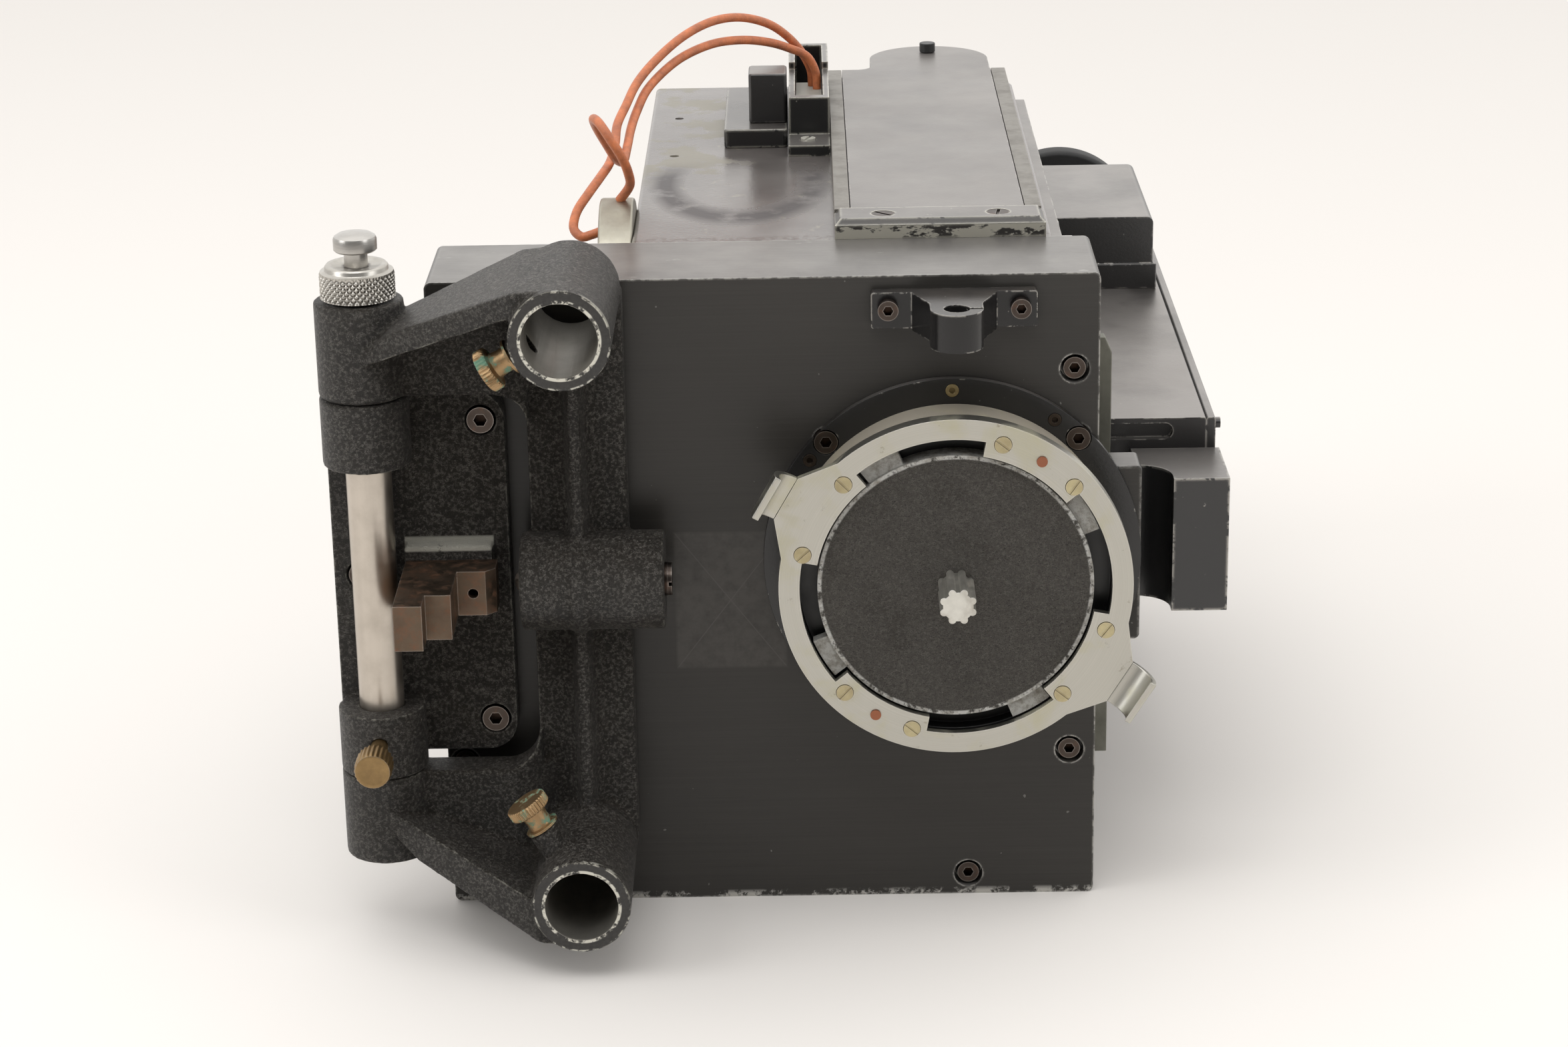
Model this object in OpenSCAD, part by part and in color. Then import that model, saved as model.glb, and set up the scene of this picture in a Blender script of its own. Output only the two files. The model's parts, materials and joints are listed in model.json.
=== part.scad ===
// Front-loaded 35 mm studio motion-picture camera body with a swing-away
// matte-box rod bracket, a lens lock ring with its cap, a magazine port and
// a side finder. The origin is the mouth of the tripod socket, -Y is the lens.

/* [Front plate] */
// Width of the front plate
plate_w = 236; // [230:1:240]
// Height of the front plate and of the body
plate_h = 237.3; // [235:0.1:240]
// Thickness of the front plate
plate_t = 49.2; // [47:0.1:52]
// Height of the lens axis above the base
lens_z = 133; // [131:0.5:135]
// Distance of the lens axis from the plate's right edge
lens_in = 52; // [50:0.5:54]

/* [Lens mount] */
// Radius of the lock ring
ring_r = 62; // [61:0.1:63]
// Radius of the cap's disc
cap_r = 48.4; // [48:0.1:48.6]
// Distance from the plate to the ring's face
ring_out = 33; // [32:0.5:35]

/* [Body] */
// Width of the body behind the plate
body_w = 152.5; // [150:0.5:154]
// Length of the body behind the plate
body_l = 252.8; // [250:0.2:256]
// Thickness of the body's walls
wall = 6; // [5:0.5:6]

/* [Swing bracket] */
// Distance of the hinge axis from the plate's left edge
hinge_out = 20.5; // [20:0.1:21]
// Distance of the hinge axis in front of the plate
hinge_fwd = 18.5; // [18:0.1:19]
// Radius of the hinge rod
rod_r = 8; // [7.9:0.01:8.02]
// Radius of the bores for the matte-box rods
socket_bore_r = 12.7; // [12:0.1:13]
// Height of each rod bore above or below the lens axis
socket_rise = 103; // [102:0.5:104]

/* [Drive] */
// Module of the spur gears
gear_m = 1.5; // [1.5:0.1:1.5]
// Teeth of the motor pinion
pinion_n = 12; // [12:1:12]
// Teeth of the idler gear
idler_n = 54; // [54:2:54]
// Teeth of the sprocket shaft's gear
shaft_n = 22; // [22:1:22]

/* [Hidden] */
$fn = 64;

// Shared positions, from the plate's right front bottom corner
body_x1 = -13.2;
body_x0 = body_x1 - body_w;
body_y0 = plate_t;
body_y1 = plate_t + body_l;
lens_x = -lens_in;
hinge_x = -plate_w - hinge_out;
hinge_y = -hinge_fwd;
socket_x = -184.4;
screw_angles = [45, 135, 225, 315];
floor_z = 12;
cover_z = 237.8;
rail_top = 244.2;
motor_y = 82;
motor_z = 214.8;
shutter_x = -98;
shutter_r = 62;
ring_screw_r = 55;
gear_x = -128;
gear_t = 8;
train_angle = atan2(lens_z - motor_z, 68);
idler_d = gear_m * (pinion_n + idler_n) / 2;
shaft_d = idler_d + gear_m * (idler_n + shaft_n) / 2;
idler_y = motor_y + idler_d * cos(train_angle);
idler_z = motor_z + idler_d * sin(train_angle);
shaft_y = motor_y + shaft_d * cos(train_angle);
shaft_z = motor_z + shaft_d * sin(train_angle);
door_x = -8.5;
door_z = 6;

// ---------- shared shapes ----------
module datum() {
  translate([-(body_x0 + body_x1) / 2, -175, 0]) children();
}

// Rounded rectangle from one corner to the other
module rrect(a0, b0, a1, b1, r) {
  translate([a0 + r, b0]) square([a1 - a0 - 2 * r, b1 - b0]);
  translate([a0, b0 + r]) square([a1 - a0, b1 - b0 - 2 * r]);
  for (a = [a0 + r, a1 - r], b = [b0 + r, b1 - r]) translate([a, b]) circle(r);
}

module along_y(y0, y1) {
  translate([0, y1, 0]) rotate([90, 0, 0]) linear_extrude(y1 - y0) children();
}

module along_x(x0, x1) {
  translate([x0, 0, 0]) rotate([90, 0, 90]) linear_extrude(x1 - x0) children();
}

module along_z(z0, z1) {
  translate([0, 0, z0]) linear_extrude(z1 - z0) children();
}

module box(x0, x1, y0, y1, z0, z1) {
  translate([x0, y0, z0]) cube([x1 - x0, y1 - y0, z1 - z0]);
}

module cyl_y(x, z, y0, y1, r) {
  translate([x, y1, z]) rotate([90, 0, 0]) cylinder(r = r, h = y1 - y0);
}

module cyl_x(y, z, x0, x1, r) {
  translate([x0, y, z]) rotate([0, 90, 0]) cylinder(r = r, h = x1 - x0);
}

module cyl_z(x, y, z0, z1, r) {
  translate([x, y, z0]) cylinder(r = r, h = z1 - z0);
}

// Socket-head screw that faces -Y, with its head's top at y
module cap_screw(x, z, y, head_r, head_h, shank_r, length) {
  difference() {
    cyl_y(x, z, y, y + head_h, head_r);
    translate([x, y + head_h * 0.6, z]) rotate([90, 0, 0])
      cylinder(r = head_r * 0.5, h = head_h, $fn = 6);
  }
  cyl_y(x, z, y + head_h, y + head_h + length, shank_r);
}

// Slotted cheese-head screw that faces -Y
module slot_screw_y(x, z, y, head_r, head_h, angle) {
  difference() {
    cyl_y(x, z, y, y + head_h, head_r);
    translate([x, y, z]) rotate([0, angle, 0])
      box(-head_r - 1, head_r + 1, -1, 0.5, -0.45, 0.45);
  }
}

// Slotted screw that faces +Z
module slot_screw_z(x, y, z, head_r, head_h, angle) {
  difference() {
    cyl_z(x, y, z - head_h, z, head_r);
    translate([x, y, z]) rotate([0, 0, angle])
      box(-head_r - 1, head_r + 1, -0.6, 0.6, -0.7, 1);
  }
}

// Spur gear outline with straight-flanked teeth; the first tooth points at 0
module gear_outline(n, m) {
  r = n * m / 2;
  half = 90 / n;
  polygon([for (i = [0 : n - 1], k = [0 : 3])
    let (rr = (k == 0 || k == 3) ? r - m * 1.15 : r + m * 0.75,
      w = (k == 0 || k == 3) ? half * 1.3 : half * 0.5,
      a = i * 360 / n + ((k < 2) ? -w : w))
    [rr * cos(a), rr * sin(a)]]);
}

module gear_x_axis(y, z, x0, n, phase, bore) {
  translate([0, y, z]) along_x(x0, x0 + gear_t) difference() {
    rotate(phase) gear_outline(n, gear_m);
    circle(bore);
  }
}

// ---------- front plate and lens mount ----------
// Screw places on the plate: x, z
plate_screw_at = [[-8.8, 202.4], [-9.3, 57.3], [-46.1, 8.2], [-229.7, 56]];
flange_r = 67.3;
flange_screw_r = 63;
pin_angles = [55, 90, 143];

module front_plate() color([0.09, 0.09, 0.095]) datum() difference() {
  along_y(0, plate_t) rrect(-plate_w, 0, 0, plate_h, 2.5);
  cyl_y(lens_x, lens_z, -1, plate_t + 1, 46);
  cyl_y(shutter_x, lens_z, 36, plate_t + 1, shutter_r + 3);
  for (p = plate_screw_at) {
    cyl_y(p[0], p[1], -1, 6, 5.2);
    cyl_y(p[0], p[1], 5, 22, 2.5);
  }
  at_flange(screw_angles) {
    cyl_y(0, 0, -1, 1, 4.6);
    cyl_y(0, 0, 0, 15, 2.5);
  }
}

// Ear that backs the lens flange beside the plate
module side_ear() color([0.1, 0.1, 0.105]) datum() along_y(0, 16) {
  rrect(4, 100, 15.5, 166, 2);
  translate([0, 100]) square([8, 66]);
}

// Children at each angle on the flange's screw circle
module at_flange(angles) {
  for (a = angles)
    translate([lens_x + flange_screw_r * cos(a), 0, lens_z + flange_screw_r * sin(a)]) children();
}

module lens_flange() color([0.12, 0.12, 0.12]) datum() difference() {
  cyl_y(lens_x, lens_z, -3, 0, flange_r);
  cyl_y(lens_x, lens_z, -4, 1, 46);
  at_flange(screw_angles) cyl_y(0, 0, -4, 1, 4.6);
  at_flange(pin_angles) cyl_y(0, 0, -4, 1, 2.4);
}

// Two small screws and an index pin set flush into the lens flange
module flange_pins() color([0.35, 0.3, 0.22]) datum() at_flange(pin_angles) difference() {
  cyl_y(0, 0, -3.3, 0, 2.35);
  cyl_y(0, 0, -4, -2, 1.1);
}

module mount_barrel() color([0.62, 0.58, 0.5]) datum() difference() {
  cyl_y(lens_x, lens_z, -ring_out + 6, -3, 58.2);
  cyl_y(lens_x, lens_z, -ring_out - 1, -2, 46);
  cyl_y(lens_x, lens_z, -ring_out - 1, -22, 55);
}

// Angular ends of the ring's four bayonet gaps and of the cap's lugs
notch_start = 79;
notch_span = 50;
lug_span = 16;

module sector(r, a0, a1) {
  polygon(concat([[0, 0]], [for (i = [0 : 8])
    let (a = a0 + (a1 - a0) * i / 8) [r * cos(a), r * sin(a)]]));
}

module ring_face(y0, y1) {
  translate([lens_x, 0, lens_z]) along_y(y0, y1) children();
}

module lock_ring() color([0.7, 0.71, 0.68]) datum() {
  ring_face(-ring_out, -ring_out + 3) difference() {
    union() {
      circle(ring_r, $fn = 128);
      for (a = tab_angles) rotate(a)
        polygon([[52, 17.9], [58.6, 20.2], [68, 8.5], [68, -8.5], [58.6, -20.2], [52, -17.9]]);
    }
    circle(49.2, $fn = 96);
    for (i = [0 : 3]) intersection() {
      circle(54.6, $fn = 96);
      sector(90, notch_start + i * 90, notch_start + notch_span + i * 90);
    }
    for (a = ring_screw_angles) rotate(a) translate([ring_screw_r, 0]) circle(3.1, $fn = 32);
  }
  ring_face(-ring_out + 3, -ring_out + 5.8) difference() {
    circle(ring_r, $fn = 128);
    circle(58.6, $fn = 96);
  }
}

// Angles of the two finger tabs
tab_angles = [150, 328];
// Places of the ring's slotted screws round the lens axis
ring_screw_angles = [42, 72.8, 135, 166, 224.5, 253.5, 313, 342.7];
// Places of its two rivets
ring_rivet_angles = [57.3, 238.9];

module ring_screws() color([0.72, 0.66, 0.45]) datum() {
  for (a = ring_screw_angles) {
    slot_screw_y(lens_x + ring_screw_r * cos(a), lens_z + ring_screw_r * sin(a), -ring_out - 0.4, 3,
      3.3, a * 3);
  }
  for (a = ring_rivet_angles) {
    cyl_y(lens_x + ring_screw_r * cos(a), lens_z + ring_screw_r * sin(a), -ring_out - 0.6, -ring_out, 1.9);
  }
}

// Sheet tabs that run on from the ring's face and curl towards the operator
module finger_tabs() color([0.7, 0.7, 0.68]) datum() for (a = tab_angles)
  translate([lens_x, -ring_out, lens_z]) rotate([0, -a, 0]) translate([68, -7, -8.5])
    linear_extrude(17) difference() {
      circle(9.2);
      circle(7);
      translate([-10, -10]) square([10, 20]);
      translate([-1, -10]) square([12, 6.5]);
    }

module body_cap() color([0.16, 0.16, 0.155]) datum() {
  ring_face(-ring_out + 2, -22.3) circle(cap_r, $fn = 96);
  for (i = [0 : 3]) ring_face(-29.7, -25) intersection() {
    difference() {
      circle(54, $fn = 96);
      circle(cap_r - 1);
    }
    sector(90, notch_start + notch_span - lug_span - 1 + i * 90,
      notch_start + notch_span - 1 + i * 90);
  }
}

module spline_knob() color([0.78, 0.77, 0.72]) datum() ring_face(-ring_out - 18, -ring_out + 2) {
  circle(5.3);
  for (i = [0 : 7]) rotate(i * 45 + 22.5) translate([5.3, 0]) circle(1.35, $fn = 24);
}

// Socket-head screws of the plate, the lens flange, the hook and the hinge base
module cap_screws() color([0.3, 0.26, 0.22]) datum() {
  for (p = plate_screw_at) cap_screw(p[0], p[1], 1, 3.95, 5, 2.4, 14);
  at_flange(screw_angles) cap_screw(0, 0, -3.2, 4.2, 4, 2.4, 12);
  for (s = [-1, 1]) cap_screw(hook_x + s * pad_x, 227, -9, 3.6, 4, 2, 5);
  for (p = base_screw_at) cap_screw(p[0], p[1], -10, 4.75, 5.5, 3.2, 4.5);
}

// ---------- tape hook ----------
hook_x = -51.3;
hook_y = -26;
pad_x = 23.1;

module hook_bracket() color([0.14, 0.14, 0.14]) datum() difference() {
  union() {
    along_y(-5, 0) rrect(hook_x - pad_x - 5.9, 219.5, hook_x + pad_x + 5.9, 232.5, 1);
    along_z(219, 232.5) polygon([[hook_x - 14.7, 0], [hook_x + 14.7, 0], [hook_x + 14.7, -6],
      [hook_x + 9.2, -19], [hook_x + 9.2, hook_y], [hook_x - 9.2, hook_y], [hook_x - 9.2, -19],
      [hook_x - 14.7, -6]]);
    cyl_z(hook_x, hook_y, 219, 232.5, 9.2);
  }
  cyl_z(hook_x, hook_y, 210, 240, 4.5);
  box(hook_x, hook_x + 14, hook_y - 0.8, hook_y + 0.8, 210, 240);
  for (s = [-1, 1]) cyl_y(hook_x + s * pad_x, 227, -6, 1, 2.1);
}

// ---------- swing bracket ----------
fixed_knuckles = [[178.4, 203], [63.6, 87.3]];
knuckle_r = 15.5;
base_x0 = -272;
base_x1 = -209;
base_screw_at = [[-217.5, 190], [-217, 77], [-262, 133]];
clamp_z = 76.5;
latch_y = -16.5;

module hinge_base() color([0.13, 0.125, 0.12]) datum() difference() {
  union() {
    along_y(-10, 0) rrect(base_x0, 65, base_x1, 201, 11);
    box(-246, -215, latch_y, -9, 122, 145.5);
    for (k = fixed_knuckles) {
      cyl_z(hinge_x, hinge_y, k[0], k[1], knuckle_r);
      box(hinge_x - 10, hinge_x + 10, hinge_y, -6, max(k[0], 66), min(k[1], 200));
    }
  }
  cyl_z(hinge_x, hinge_y, 0, 250, rod_r + 0.05);
  cyl_y(hinge_x, clamp_z, -40, hinge_y, 3.05);
  for (p = base_screw_at) {
    cyl_y(p[0], p[1], -11, -4.5, 5.5);
    cyl_y(p[0], p[1], -5, 1, 3.3);
  }
}

module hinge_rod() color([0.72, 0.72, 0.72]) datum() difference() {
  cyl_z(hinge_x, hinge_y, 36.4, 237.4, rod_r);
  cyl_z(hinge_x, hinge_y, 205, 238, 4.2);
}

module knuckle_screw() color([0.62, 0.5, 0.28]) datum() {
  cyl_y(hinge_x, clamp_z, -44, -27, 3);
  cyl_y(hinge_x, clamp_z, -46, -43.5, 4.6);
  difference() {
    cyl_y(hinge_x, clamp_z, -56, -46, 6.6);
    for (i = [0 : 11]) cyl_y(hinge_x + 7.3 * cos(i * 30), clamp_z + 7.3 * sin(i * 30), -57, -45, 1.1);
  }
}

module latch_block() color([0.36, 0.32, 0.28]) datum() difference() {
  along_z(124.2, 140.6) polygon([[-245.5, latch_y], [-245.5, -62.5], [-235.5, -62.5],
    [-235.5, -52], [-226.5, -52], [-226.5, -29], [-216.5, -29], [-213, -25.5], [-213, latch_y]]);
  cyl_y(-221, 132.4, -30, -21, 1.75);
}

column_x0 = -201;
column_x1 = -166.5;
boss_r = 17.5;
boss_x0 = -204.5;
// Rise of the column's joints with the two rod arms above and below the lens axis
column_rise = 55;
fillet_r = 12;
upper_screw_angle = 211;
lower_screw_angle = 122;

// Turns a shape of the upper half of the bracket upside down about the lens axis
module lower_half() {
  translate([0, 0, 2 * lens_z]) mirror([0, 0, 1]) children();
}

// Column's cross-section: a flat web with a narrow ridge down its front
module column_section() {
  translate([column_x0, -14]) square([column_x1 - column_x0, 10]);
  polygon([[-191.5, -14], [-187.8, -16.5], [-186, -24], [-182, -24], [-180.2, -16.5], [-176.5, -14]]);
}

// Rounded inside corner between the web and the column, seen from the front
module web_corner() {
  difference() {
    translate([column_x0 - fillet_r, 203.4 - fillet_r]) square([fillet_r + 1, fillet_r + 1]);
    translate([column_x0 - fillet_r, 203.4 - fillet_r]) circle(fillet_r);
  }
}

// One rod arm of the upper half: web, sloping flange and socket
module rod_arm(rib_h) {
  intersection() {
    along_y(-24, -10) {
      polygon([[-256, 203.4], [column_x0 + 6, 203.4], [column_x0 + 6, 246], [-200, 250], [-252, 226],
        [-256, 222]]);
      web_corner();
    }
    along_z(180, 260) polygon([[-257, -24], [-209, -24], [-195, -14], [-194, -9], [-257, -9]]);
  }
  intersection() {
    along_y(-71, -8) polygon([[-257, 219.5 - rib_h / 2], [-257, 219.5], [-244, 231], [-200, 251.5],
      [-188, 252.5], [-188, 246 - rib_h], [-200, 250 - rib_h]]);
    along_z(180, 260) polygon([[-257, -33], [-200, -66], [-184, -66], [-184, -8], [-257, -12]]);
  }
  cyl_y(socket_x, lens_z + socket_rise, -70, -4, 17.3);
  along_z(lens_z + column_rise, lens_z + socket_rise) column_section();
}

// Bores of one rod arm of the upper half
module rod_arm_bores() {
  cyl_z(hinge_x, hinge_y, 150, 250, rod_r + 0.08);
  cyl_y(socket_x, lens_z + socket_rise, -71, 0, socket_bore_r);
}

module arm_column() color([0.13, 0.125, 0.12]) datum() difference() {
  union() {
    along_z(lens_z - column_rise, lens_z + column_rise) column_section();
    cyl_x(hinge_y, lens_z, boss_x0, -154, boss_r);
    intersection() {
      cyl_x(hinge_y, lens_z, -186, -182, boss_r + 1);
      box(-190, -178, -60, -22, 100, 160);
    }
  }
  cyl_x(hinge_y, lens_z, boss_x0 - 1, -153, 6);
}

module upper_rod_arm() color([0.13, 0.125, 0.12]) datum() difference() {
  union() {
    difference() {
      rod_arm(7);
      cyl_z(hinge_x, hinge_y, 150, 203.3, knuckle_r + 3);
    }
    cyl_z(hinge_x, hinge_y, 203.3, 237.3, knuckle_r);
    radial_boss(socket_rise, upper_screw_angle, 20);
  }
  rod_arm_bores();
  radial_hole(socket_rise, upper_screw_angle);
}

module lower_rod_arm() color([0.13, 0.125, 0.12]) datum() difference() {
  union() {
    lower_half() difference() {
      rod_arm(14);
      cyl_z(hinge_x, hinge_y, 150, 202.7, knuckle_r + 3);
    }
    cyl_z(hinge_x, hinge_y, 31, 63.3, knuckle_r);
    radial_boss(-socket_rise, lower_screw_angle, 26);
  }
  cyl_z(hinge_x, hinge_y, 36, 80, rod_r + 0.08);
  lower_half() cyl_y(socket_x, lens_z + socket_rise, -71, 0, socket_bore_r);
  radial_hole(-socket_rise, lower_screw_angle);
}

screw_y = -50;

module at_socket(rise, angle) {
  translate([socket_x, screw_y, lens_z + rise]) rotate([0, 90 - angle, 0]) children();
}

module radial_boss(rise, angle, reach) {
  at_socket(rise, angle) translate([0, 0, 14]) cylinder(r = 6, h = reach - 14);
}

module radial_hole(rise, angle) {
  at_socket(rise, angle) translate([0, 0, 5]) cylinder(r = 3.05, h = 30);
}

module thumbscrew(rise, angle, reach) {
  at_socket(rise, angle) {
    translate([0, 0, 13.2]) cylinder(r = 3, h = reach - 10);
    translate([0, 0, reach + 0.3]) cylinder(r = 6.2, h = 1);
    translate([0, 0, reach + 1.2]) cylinder(r = 4.5, h = 6.5);
    translate([0, 0, reach + 7.5]) difference() {
      cylinder(r = 7.6, h = 4.2);
      for (i = [0 : 17]) rotate(i * 20) translate([8, 0, -1]) cylinder(r = 0.7, h = 7, $fn = 16);
    }
  }
}

module upper_thumbscrew() color([0.6, 0.46, 0.24]) datum()
  thumbscrew(socket_rise, upper_screw_angle, 20);

module lower_thumbscrew() color([0.6, 0.46, 0.24]) datum()
  thumbscrew(-socket_rise, lower_screw_angle, 26);

module plunger_ball() color([0.7, 0.7, 0.72]) datum() {
  translate([-202.4, hinge_y, lens_z]) sphere(r = 4.8);
  cyl_x(hinge_y, lens_z, -202.4, -188, 5.94);
}

module plunger_spring() color([0.6, 0.6, 0.62]) datum() for (i = [0 : 6])
  translate([-185 + i * 2.8, hinge_y, lens_z]) rotate([0, 90, 0])
    rotate_extrude() translate([4.2, 0]) circle(0.8, $fn = 16);

module plunger_screw() color([0.5, 0.42, 0.34]) datum() difference() {
  union() {
    cyl_x(hinge_y, lens_z, -166, -153, 5.9);
    cyl_x(hinge_y, lens_z, -153.9, -151.5, 5.8);
  }
  box(-152.6, -151, hinge_y - 7, hinge_y + 7, lens_z - 0.7, lens_z + 0.7);
}

module hinge_nut() color([0.68, 0.68, 0.68]) datum() difference() {
  union() {
    cyl_z(hinge_x, hinge_y, 237.7, 247, 13);
    translate([hinge_x, hinge_y, 247]) cylinder(r1 = 13, r2 = 10.6, h = 2.8);
  }
  cyl_z(hinge_x, hinge_y, 237, 251, 4.15);
  for (i = [0 : 29]) cyl_z(hinge_x + 13.2 * cos(i * 12), hinge_y + 13.2 * sin(i * 12), 237, 247, 0.5);
}

module pull_button() color([0.62, 0.62, 0.62]) datum() {
  cyl_z(hinge_x, hinge_y, 212, 254.6, 4.05);
  cyl_z(hinge_x, hinge_y, 254.5, 259, 7.5);
  translate([hinge_x, hinge_y, 259]) cylinder(r1 = 7.5, r2 = 5, h = 1.9);
}

// ---------- body ----------
// Body's solid outline between two heights, with its small round edges
module body_block(z0, z1) {
  intersection() {
    along_y(body_y0, body_y1) rrect(body_x0, 0, body_x1, plate_h, 2);
    box(body_x0 - 1, body_x1 + 1, 0, 400, z0, z1);
  }
}

module body_shell() color([0.2, 0.2, 0.2]) datum() difference() {
  union() {
    body_block(-1, plate_h - wall);
    for (y = [[60, 100], [260, 296]]) {
      cyl_y(door_x, door_z, y[0], y[1], 4.5);
      box(-14, door_x, y[0], y[1], 2, 10);
    }
  }
  box(body_x0 + wall, body_x1 + 1, body_y0 + wall + 0.8, body_y1 - wall, floor_z, plate_h);
  box(lens_x - 13, lens_x + 13, 48, 58, lens_z - 10, lens_z + 10);
  cyl_y(shutter_x, lens_z, 48, 58, 4.1);
  cyl_x(motor_y, motor_z, body_x0 - 1, body_x0 + wall + 1, 16.1);
  cyl_z((body_x0 + body_x1) / 2, 175, -1, floor_z - 2, 3.97);
  cyl_y(door_x, door_z, 50, 310, 2.55);
}

// Top wall with the port that the film comes through from the magazine
module body_top() color([0.22, 0.22, 0.22]) datum() difference() {
  body_block(plate_h - wall, plate_h + 1);
  box(-80, -29, 95, 285, 200, plate_h + 1);
  for (y = [180, 245]) cyl_z(-154, y, plate_h - 3, plate_h + 1, 1.8);
}

module side_flange() color([0.5, 0.5, 0.47]) datum() along_y(body_y0, body_y0 + 5.5)
  polygon([[-13.1, 35], [8.6, 35], [8.6, 193], [6, 199], [-13.1, 199]]);

bar_x0 = -92;
bar_x1 = -15.8;
bar_y1 = 66.5;

module stop_bar() color([0.24, 0.23, 0.2]) datum() difference() {
  box(bar_x0, bar_x1, plate_t, bar_y1, plate_h, 244.5);
  translate([0, plate_t, 244.5]) rotate([45, 0, 0]) box(-120, 0, -1.5, 1.5, -1.5, 1.5);
  for (x = [bar_x0, bar_x1]) translate([x, 0, 244.5]) rotate([0, 45, 0])
    box(-1.5, 1.5, 0, 100, -1.5, 1.5);
  for (x = [-74.4, -32.7]) cyl_z(x, 58, 242.6, 246, 4.2);
}

module stop_bar_screws() color([0.4, 0.33, 0.27]) datum() for (x = [-74.4, -32.7])
  slot_screw_z(x, 58, 244.4, 4.1, 1.8, x * 3);

// Grooved rails at both sides of the port cover
module port_rails() color([0.6, 0.6, 0.58]) datum() difference() {
  for (x = [[bar_x0, -86.3], [-22.4, -16.4]]) box(x[0], x[1], bar_y1, body_y1 - 0.5, plate_h, rail_top);
  box(-87.7, -21, 60, 320, plate_h - 1, 241.2);
}

tab_x = -48.3;
tab_y = 322;
knob_y = 335;

module port_cover() color([0.42, 0.41, 0.4]) datum() difference() {
  union() {
    box(-86, -22.7, bar_y1 + 0.4, body_y1 - 0.5, cover_z, rail_top);
    box(-87.4, -21.3, bar_y1 + 0.4, body_y1 - 0.5, cover_z, 240.9);
    along_z(240.5, rail_top) {
      translate([tab_x, tab_y]) circle(25.4, $fn = 96);
      translate([tab_x - 25.4, body_y1 - 3]) square([50.8, tab_y - body_y1 + 3]);
      difference() {
        translate([tab_x - 31.4, body_y1 - 1]) square([7, 6.5]);
        translate([tab_x - 31.4, body_y1 + 5.5]) circle(6);
      }
    }
  }
  cyl_z(tab_x, knob_y, 230, 250, 2.5);
}

module cover_knob() color([0.1, 0.1, 0.1]) datum() {
  cyl_z(tab_x, knob_y, 238.6, 246, 2.48);
  cyl_z(tab_x, knob_y, 244.4, 248.4, 3.4);
  cyl_z(tab_x, knob_y, 238, 240.4, 3.6);
}

// ---------- connector and motor ----------
module connector_plate() color([0.3, 0.29, 0.28]) datum() {
  along_z(plate_h, 244.9) rrect(-134.5, 191, -109.2, 268, 2);
}

module connector_socket() color([0.25, 0.25, 0.25]) datum() {
  along_z(244.9, 265) rrect(-124.5, 201, -109.2, 218, 1.5);
}

module terminal_box() color([0.12, 0.12, 0.12]) datum() difference() {
  union() {
    box(-108.8, -92.3, 176, 284.5, plate_h, 241.6);
    box(-108.5, -92.3, 195.4, 284.5, plate_h, 256.5);
    box(-108.5, -92.3, 248, 284.5, plate_h, 259.5);
  }
  box(-105.9, -94.9, 200, 281, 240, 262);
  cyl_z(-101, 186, 240, 243, 3);
}

module terminal_strip() color([0.6, 0.58, 0.52]) datum() {
  box(-105.6, -95.2, 206, 252, 240, 250);
  for (y = [212, 220], x = [-103, -98]) slot_screw_z(x, y, 251.2, 1.8, 1.4, 20);
  slot_screw_z(-101, 186, 242.4, 2.9, 2.2, 70);
}

module motor_housing() color([0.66, 0.64, 0.58]) datum() difference() {
  union() {
    cyl_x(motor_y, motor_z, -178.4, body_x0, 30);
    cyl_x(motor_y, motor_z, body_x0, -132, 16);
  }
  cyl_x(motor_y, motor_z, -175, -134, 14);
  cyl_x(motor_y, motor_z, -140, -130, 3.05);
}

module motor_rotor() color([0.7, 0.5, 0.35]) datum() {
  cyl_x(motor_y, motor_z, -172, -136, 12.5);
  cyl_x(motor_y, motor_z, -137, -118, 3);
  gear_x_axis(motor_y, motor_z, gear_x, pinion_n, train_angle, 2.9);
}

// ---------- film drive ----------
module idler_gear() color([0.72, 0.6, 0.32]) datum() difference() {
  gear_x_axis(idler_y, idler_z, gear_x, idler_n, train_angle + 180 + 180 / idler_n, 4.05);
  for (i = [0 : 4]) translate([0, idler_y, idler_z]) rotate([i * 72, 0, 0])
    cyl_x(24, 0, gear_x - 1, gear_x + 10, 8);
}

bevel_in = 5;
bevel_out = 11;

module sprocket_shaft() color([0.66, 0.66, 0.68]) datum() {
  cyl_x(shaft_y, shaft_z, -132, -30, 4);
  gear_x_axis(shaft_y, shaft_z, gear_x, shaft_n, train_angle + 180, 3.9);
  translate([shutter_x + bevel_in, shaft_y, shaft_z]) rotate([0, 90, 0])
    cylinder(r1 = bevel_in - 0.6, r2 = bevel_out - 0.6, h = bevel_out - bevel_in);
}

module film_sprocket() color([0.55, 0.55, 0.57]) datum() difference() {
  union() {
    cyl_x(shaft_y, shaft_z, -70, -34, 13);
    for (x = [-68, -40]) cyl_x(shaft_y, shaft_z, x, x + 4, 15.2);
    for (x = [-66, -38], i = [0 : 15]) translate([x, shaft_y, shaft_z]) rotate([i * 22.5, 0, 0])
      translate([0, 0, 14]) cylinder(r = 0.9, h = 2.7, $fn = 16);
  }
  cyl_x(shaft_y, shaft_z, -71, -33, 4);
}

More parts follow.
